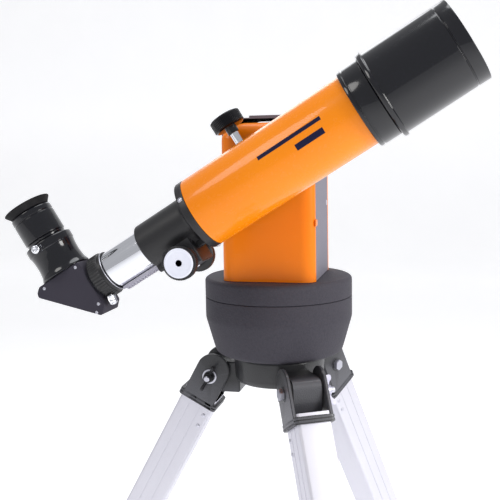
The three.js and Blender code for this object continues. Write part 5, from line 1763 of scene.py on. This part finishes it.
def makeLockKnob(name):
    leg = legPlaces[name].to_3x3()
    place = axesAt(jointSpot(f"lock_knob_turn_{name}"), leg.col[1], leg.col[2], leg.col[0])
    low, high = extent(f"lock_knob_{name}", place)
    radius = 12
    base = high.z - 12

    def lobed(r, height, angle):
        return r - 1.5 * (0.5 + 0.5 * math.cos(angle * 6)) ** 2 if r > radius - 1.6 else r

    cap = [(0, base), (radius - 4, base, 1), (radius - 0.6, base + 3, 1), (radius, base + 4),
           (radius, high.z - 2, 1), (radius - 2, high.z, 1), (0, high.z)]
    stem = [(0, low.z), (3, low.z, 0.4), (3, base + 0.5), (0, base + 0.5)]
    piece = Piece(f"lockKnob_{name}", place, blackMoulding, steel)
    piece.add(turned(cap, 144, lobed, 4))
    piece.add(turned(stem, 32), None, 1)
    return piece.done(f"lock_knob_{name}", "black_plastic", f"lock_knob_{name}")


def makeBrace(name):
    across = jointAxis(f"brace_fold_{name}")
    pin = jointSpot(f"brace_fold_{name}")
    inner = Vector(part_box("accessory_tray")[0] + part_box("accessory_tray")[1]) / 2
    outward = Vector((pin.x - inner.x, pin.y - inner.y, 0)).normalized()
    rough = axesAt(pin, outward, across, outward.cross(across))
    low, high = extent(f"brace_{name}", rough)
    tilt = math.atan2(high.z - low.z - 11, high.x - low.x - 11)
    along = (outward * math.cos(tilt) - Vector((0, 0, math.sin(tilt)))).normalized()
    place = axesAt(pin, along, across, along.cross(across))
    low, high = extent(f"brace_{name}", place)
    far = low.x + 5.5
    piece = Piece(f"brace_{name}", place, legMetal, steel)
    outline = [*arc((0, 0), 5.5, -90, 90, 14), *arc((far, 0), 5.5, 90, 270, 14)]
    bar = lyingY(prism(outline, -2, 2, 0.5, 2))
    pressed = lyingY(prism([*arc((-14, 0), 2.4, -90, 90, 8), *arc((far + 14, 0), 2.4, 90, 270, 8)], 1.5, 3))
    pressedBack = lyingY(prism([*arc((-14, 0), 2.4, -90, 90, 8), *arc((far + 14, 0), 2.4, 90, 270, 8)], -3,
                               -1.5))
    piece.add(carved(bar, pressed, pressedBack))
    for x in (0, far):
        piece.add(lyingY(turned([(0, -2.3), (2.2, -2.3, 0.2), (2.2, 2.3, 0.2), (0, 2.3)], 32)),
                  shift(x, 0, 0), 1)
    return piece.done(f"brace_{name}", "leg_aluminium", f"brace_{name}")


def makeTray():
    high = extent("accessory_tray", headPlace)[1]
    radius = high.x
    top = high.z
    bottom = top - 4
    dish = [(0, bottom - 5), (19, bottom - 5, 1), (19, bottom, 1), (radius - 0.4, bottom, 0.8),
            (radius, top, 0.8), (radius - 2.2, top, 0.6),
            (radius - 3, top - 1.4, 0.5), (20, top - 1.4, 0.5), (18.4, top, 0.5), (0, top)]
    tools = []
    for name in legNames:
        spot = jointSpot(f"leg_fold_{name}") - headPlace.to_translation()
        facing = turn(math.degrees(math.atan2(spot.y, spot.x)))
        tools.append(shifted(slab(22, radius + 3, -9, 9, bottom - 3, top + 3, 0), facing))
        hole = turned([(0, bottom - 3), (16.3, bottom - 3), (16.3, top + 3), (0, top + 3)], 64)
        tools.append(shifted(hole, facing @ turn(60) @ shift(36, 0, 0)))
    piece = Piece("accessoryTray", headPlace, blackMoulding, steel)
    piece.add(carved(turned(dish, 144), *tools, ease=0.3))
    piece.add(slottedScrew(5, 1.6, 1.2), shift(0, 0, top - 0.4), 1)
    return piece.done("tray", "black_plastic", "accessory_tray")


def dressInnerNodes():
    # drive parts and the mirror keep their CAD shape
    dress = {"pinion_shaft": brass, "azimuth_gear": brass, "altitude_worm": brass, "azimuth_worm": brass,
             "altitude_motor": steel, "azimuth_motor": steel, "battery_pack": cellSleeve,
             "diagonal_mirror": mirror}
    for node, material in dress.items():
        slots = frame["nodes"][node].material_slots
        for slot in slots:
            slot.material = material


for make in (makeMainTube, makeBadge, makeObjectiveCell, makeObjectiveLens, makeDewShield, makeFocuser,
             makeDovetail,
             makeDrawtube, makeRack, makeEyepieceHolder):
    make()
makeFocusKnob("nearFocusKnob", "near_focus_knob", 1)
makeFocusKnob("farFocusKnob", "far_focus_knob", -1)
print("optical tube built")
for make in (makeDiagonalHousing, makeEyepieceCollar, makeEyepieceBody, makeEyecup, makeEyeLens):
    make()
makeThumbScrew("holderThumbscrew", "holder_thumbscrew", "holder_thumbscrew_turn")
makeThumbScrew("collarThumbscrew", "collar_thumbscrew", "collar_thumbscrew_turn")
print("diagonal and eyepiece built")
for make in (makeSaddle, makeSaddleKnob, makeAltitudeShaft, makeFrontShell, makeRearShell, makeCoreFrame,
             makeSocketLiners,
             makeBatteryDoor, makePowerSwitch, makeTurntable, makeBaseBowl):
    make()
print("head built")
makeTripodHead()
makeMountingKnob()
for legName in legNames:
    for make in (makeClevis, makeWingBolt, makeUpperLeg, makeLowerLeg, makeFoot, makeLockKnob, makeBrace):
        make(legName)
makeTray()
dressInnerNodes()
print("tripod built")

# camera, floor and light

cameraView = {"azimuth": 13.48, "elevation": 6.65, "roll": -0.96, "distance": 847.54, "lens": 59.16,
              "aim": (-29.52, 0.0, 25.04)}


def addCamera():
    size = cameraView
    azimuth, elevation, roll = (math.radians(size[key]) for key in ("azimuth", "elevation", "roll"))
    back = Vector((math.sin(azimuth) * math.cos(elevation), -math.cos(azimuth) * math.cos(elevation),
                   math.sin(elevation)))
    right = Vector((math.cos(azimuth), math.sin(azimuth), 0))
    up = back.cross(right)
    rolledRight = right * math.cos(roll) + up * math.sin(roll)
    rolledUp = up * math.cos(roll) - right * math.sin(roll)
    aim = headPlace @ (Vector(size["aim"]) * mm)
    data = bpy.data.cameras.new("camera")
    data.sensor_width = 36
    data.lens = size["lens"]
    data.clip_start = 0.01
    camera = bpy.data.objects.new("camera", data)
    camera.matrix_world = axesAt(aim + back * size["distance"] * mm, rolledRight, rolledUp, back)
    scene.collection.objects.link(camera)
    scene.camera = camera


lightPlan = {
    "sky": (0.96, 0.97, 1.0, 1.0),
    "skyStrength": 0.5,
    "panels": [  # name, place from the azimuth axis, size, watts, colour
        ("keyPanel", (-1.5, -1.5, 1.6), 1.1, 14, (1.0, 0.98, 0.95)),
        ("sidePanel", (1.9, -0.5, 0.7), 1.0, 27, (1.0, 0.99, 0.97)),
        ("topPanel", (0.1, 0.2, 2.0), 1.5, 22, (0.96, 0.98, 1.0)),
        ("backPanel", (-0.9, 2.0, 1.3), 1.2, 6, (0.95, 0.97, 1.0)),
    ],
}


def addLights():
    world = bpy.data.worlds.new("studio")
    world.use_nodes = True
    backdrop = world.node_tree.nodes["Background"]
    backdrop.inputs["Color"].default_value = lightPlan["sky"]
    backdrop.inputs["Strength"].default_value = lightPlan["skyStrength"]
    scene.world = world
    middle = headPlace.to_translation()
    for name, spot, width, watts, colour in lightPlan["panels"]:
        data = bpy.data.lights.new(name, "AREA")
        data.shape = "DISK"
        data.size = width
        data.energy = watts
        data.color = colour
        lamp = bpy.data.objects.new(name, data)
        lamp.location = middle + Vector(spot)
        lamp.rotation_euler = Vector(spot).to_track_quat("Z", "Y").to_euler()
        scene.collection.objects.link(lamp)


def paleFloor():
    made = Finish("paleFloor", IOR=1.4, Emission_Color=(1, 1, 1, 1), Emission_Strength=0.36)
    cloud = made.noise(3, 3)
    made.feed(Base_Color=made.blend(cloud, tint(246, 246, 247), tint(240, 240, 242)),
              Roughness=0.8 + cloud * 0.1)
    return made.material


def addFloor():
    # a floor that sweeps up into a backdrop far behind
    centre = headPlace.to_translation()
    half, rise, bend = 6.0, 5.0, 1.2
    profile = [(-half, 0.0), (half - bend, 0.0)]
    profile += [(half - bend + bend * math.sin(math.radians(a)),
                 bend - bend * math.cos(math.radians(a))) for a in range(10, 100, 10)]
    profile += [(half, rise)]
    form = bmesh.new()
    rows = [[form.verts.new((x, y, z)) for y, z in profile] for x in (-half, half)]
    for k in range(len(profile) - 1):
        form.faces.new((rows[0][k], rows[1][k], rows[1][k + 1], rows[0][k + 1]))
    bmesh.ops.recalc_face_normals(form, faces=form.faces)
    floor = looseObject(form, "floor")
    floor.location = (centre.x, centre.y, 0)
    floor.data.materials.append(paleFloor())
    for face in floor.data.polygons:
        face.use_smooth = True


addCamera()
addLights()
addFloor()
scene.view_settings.view_transform = "Standard"
print("camera and lights set")
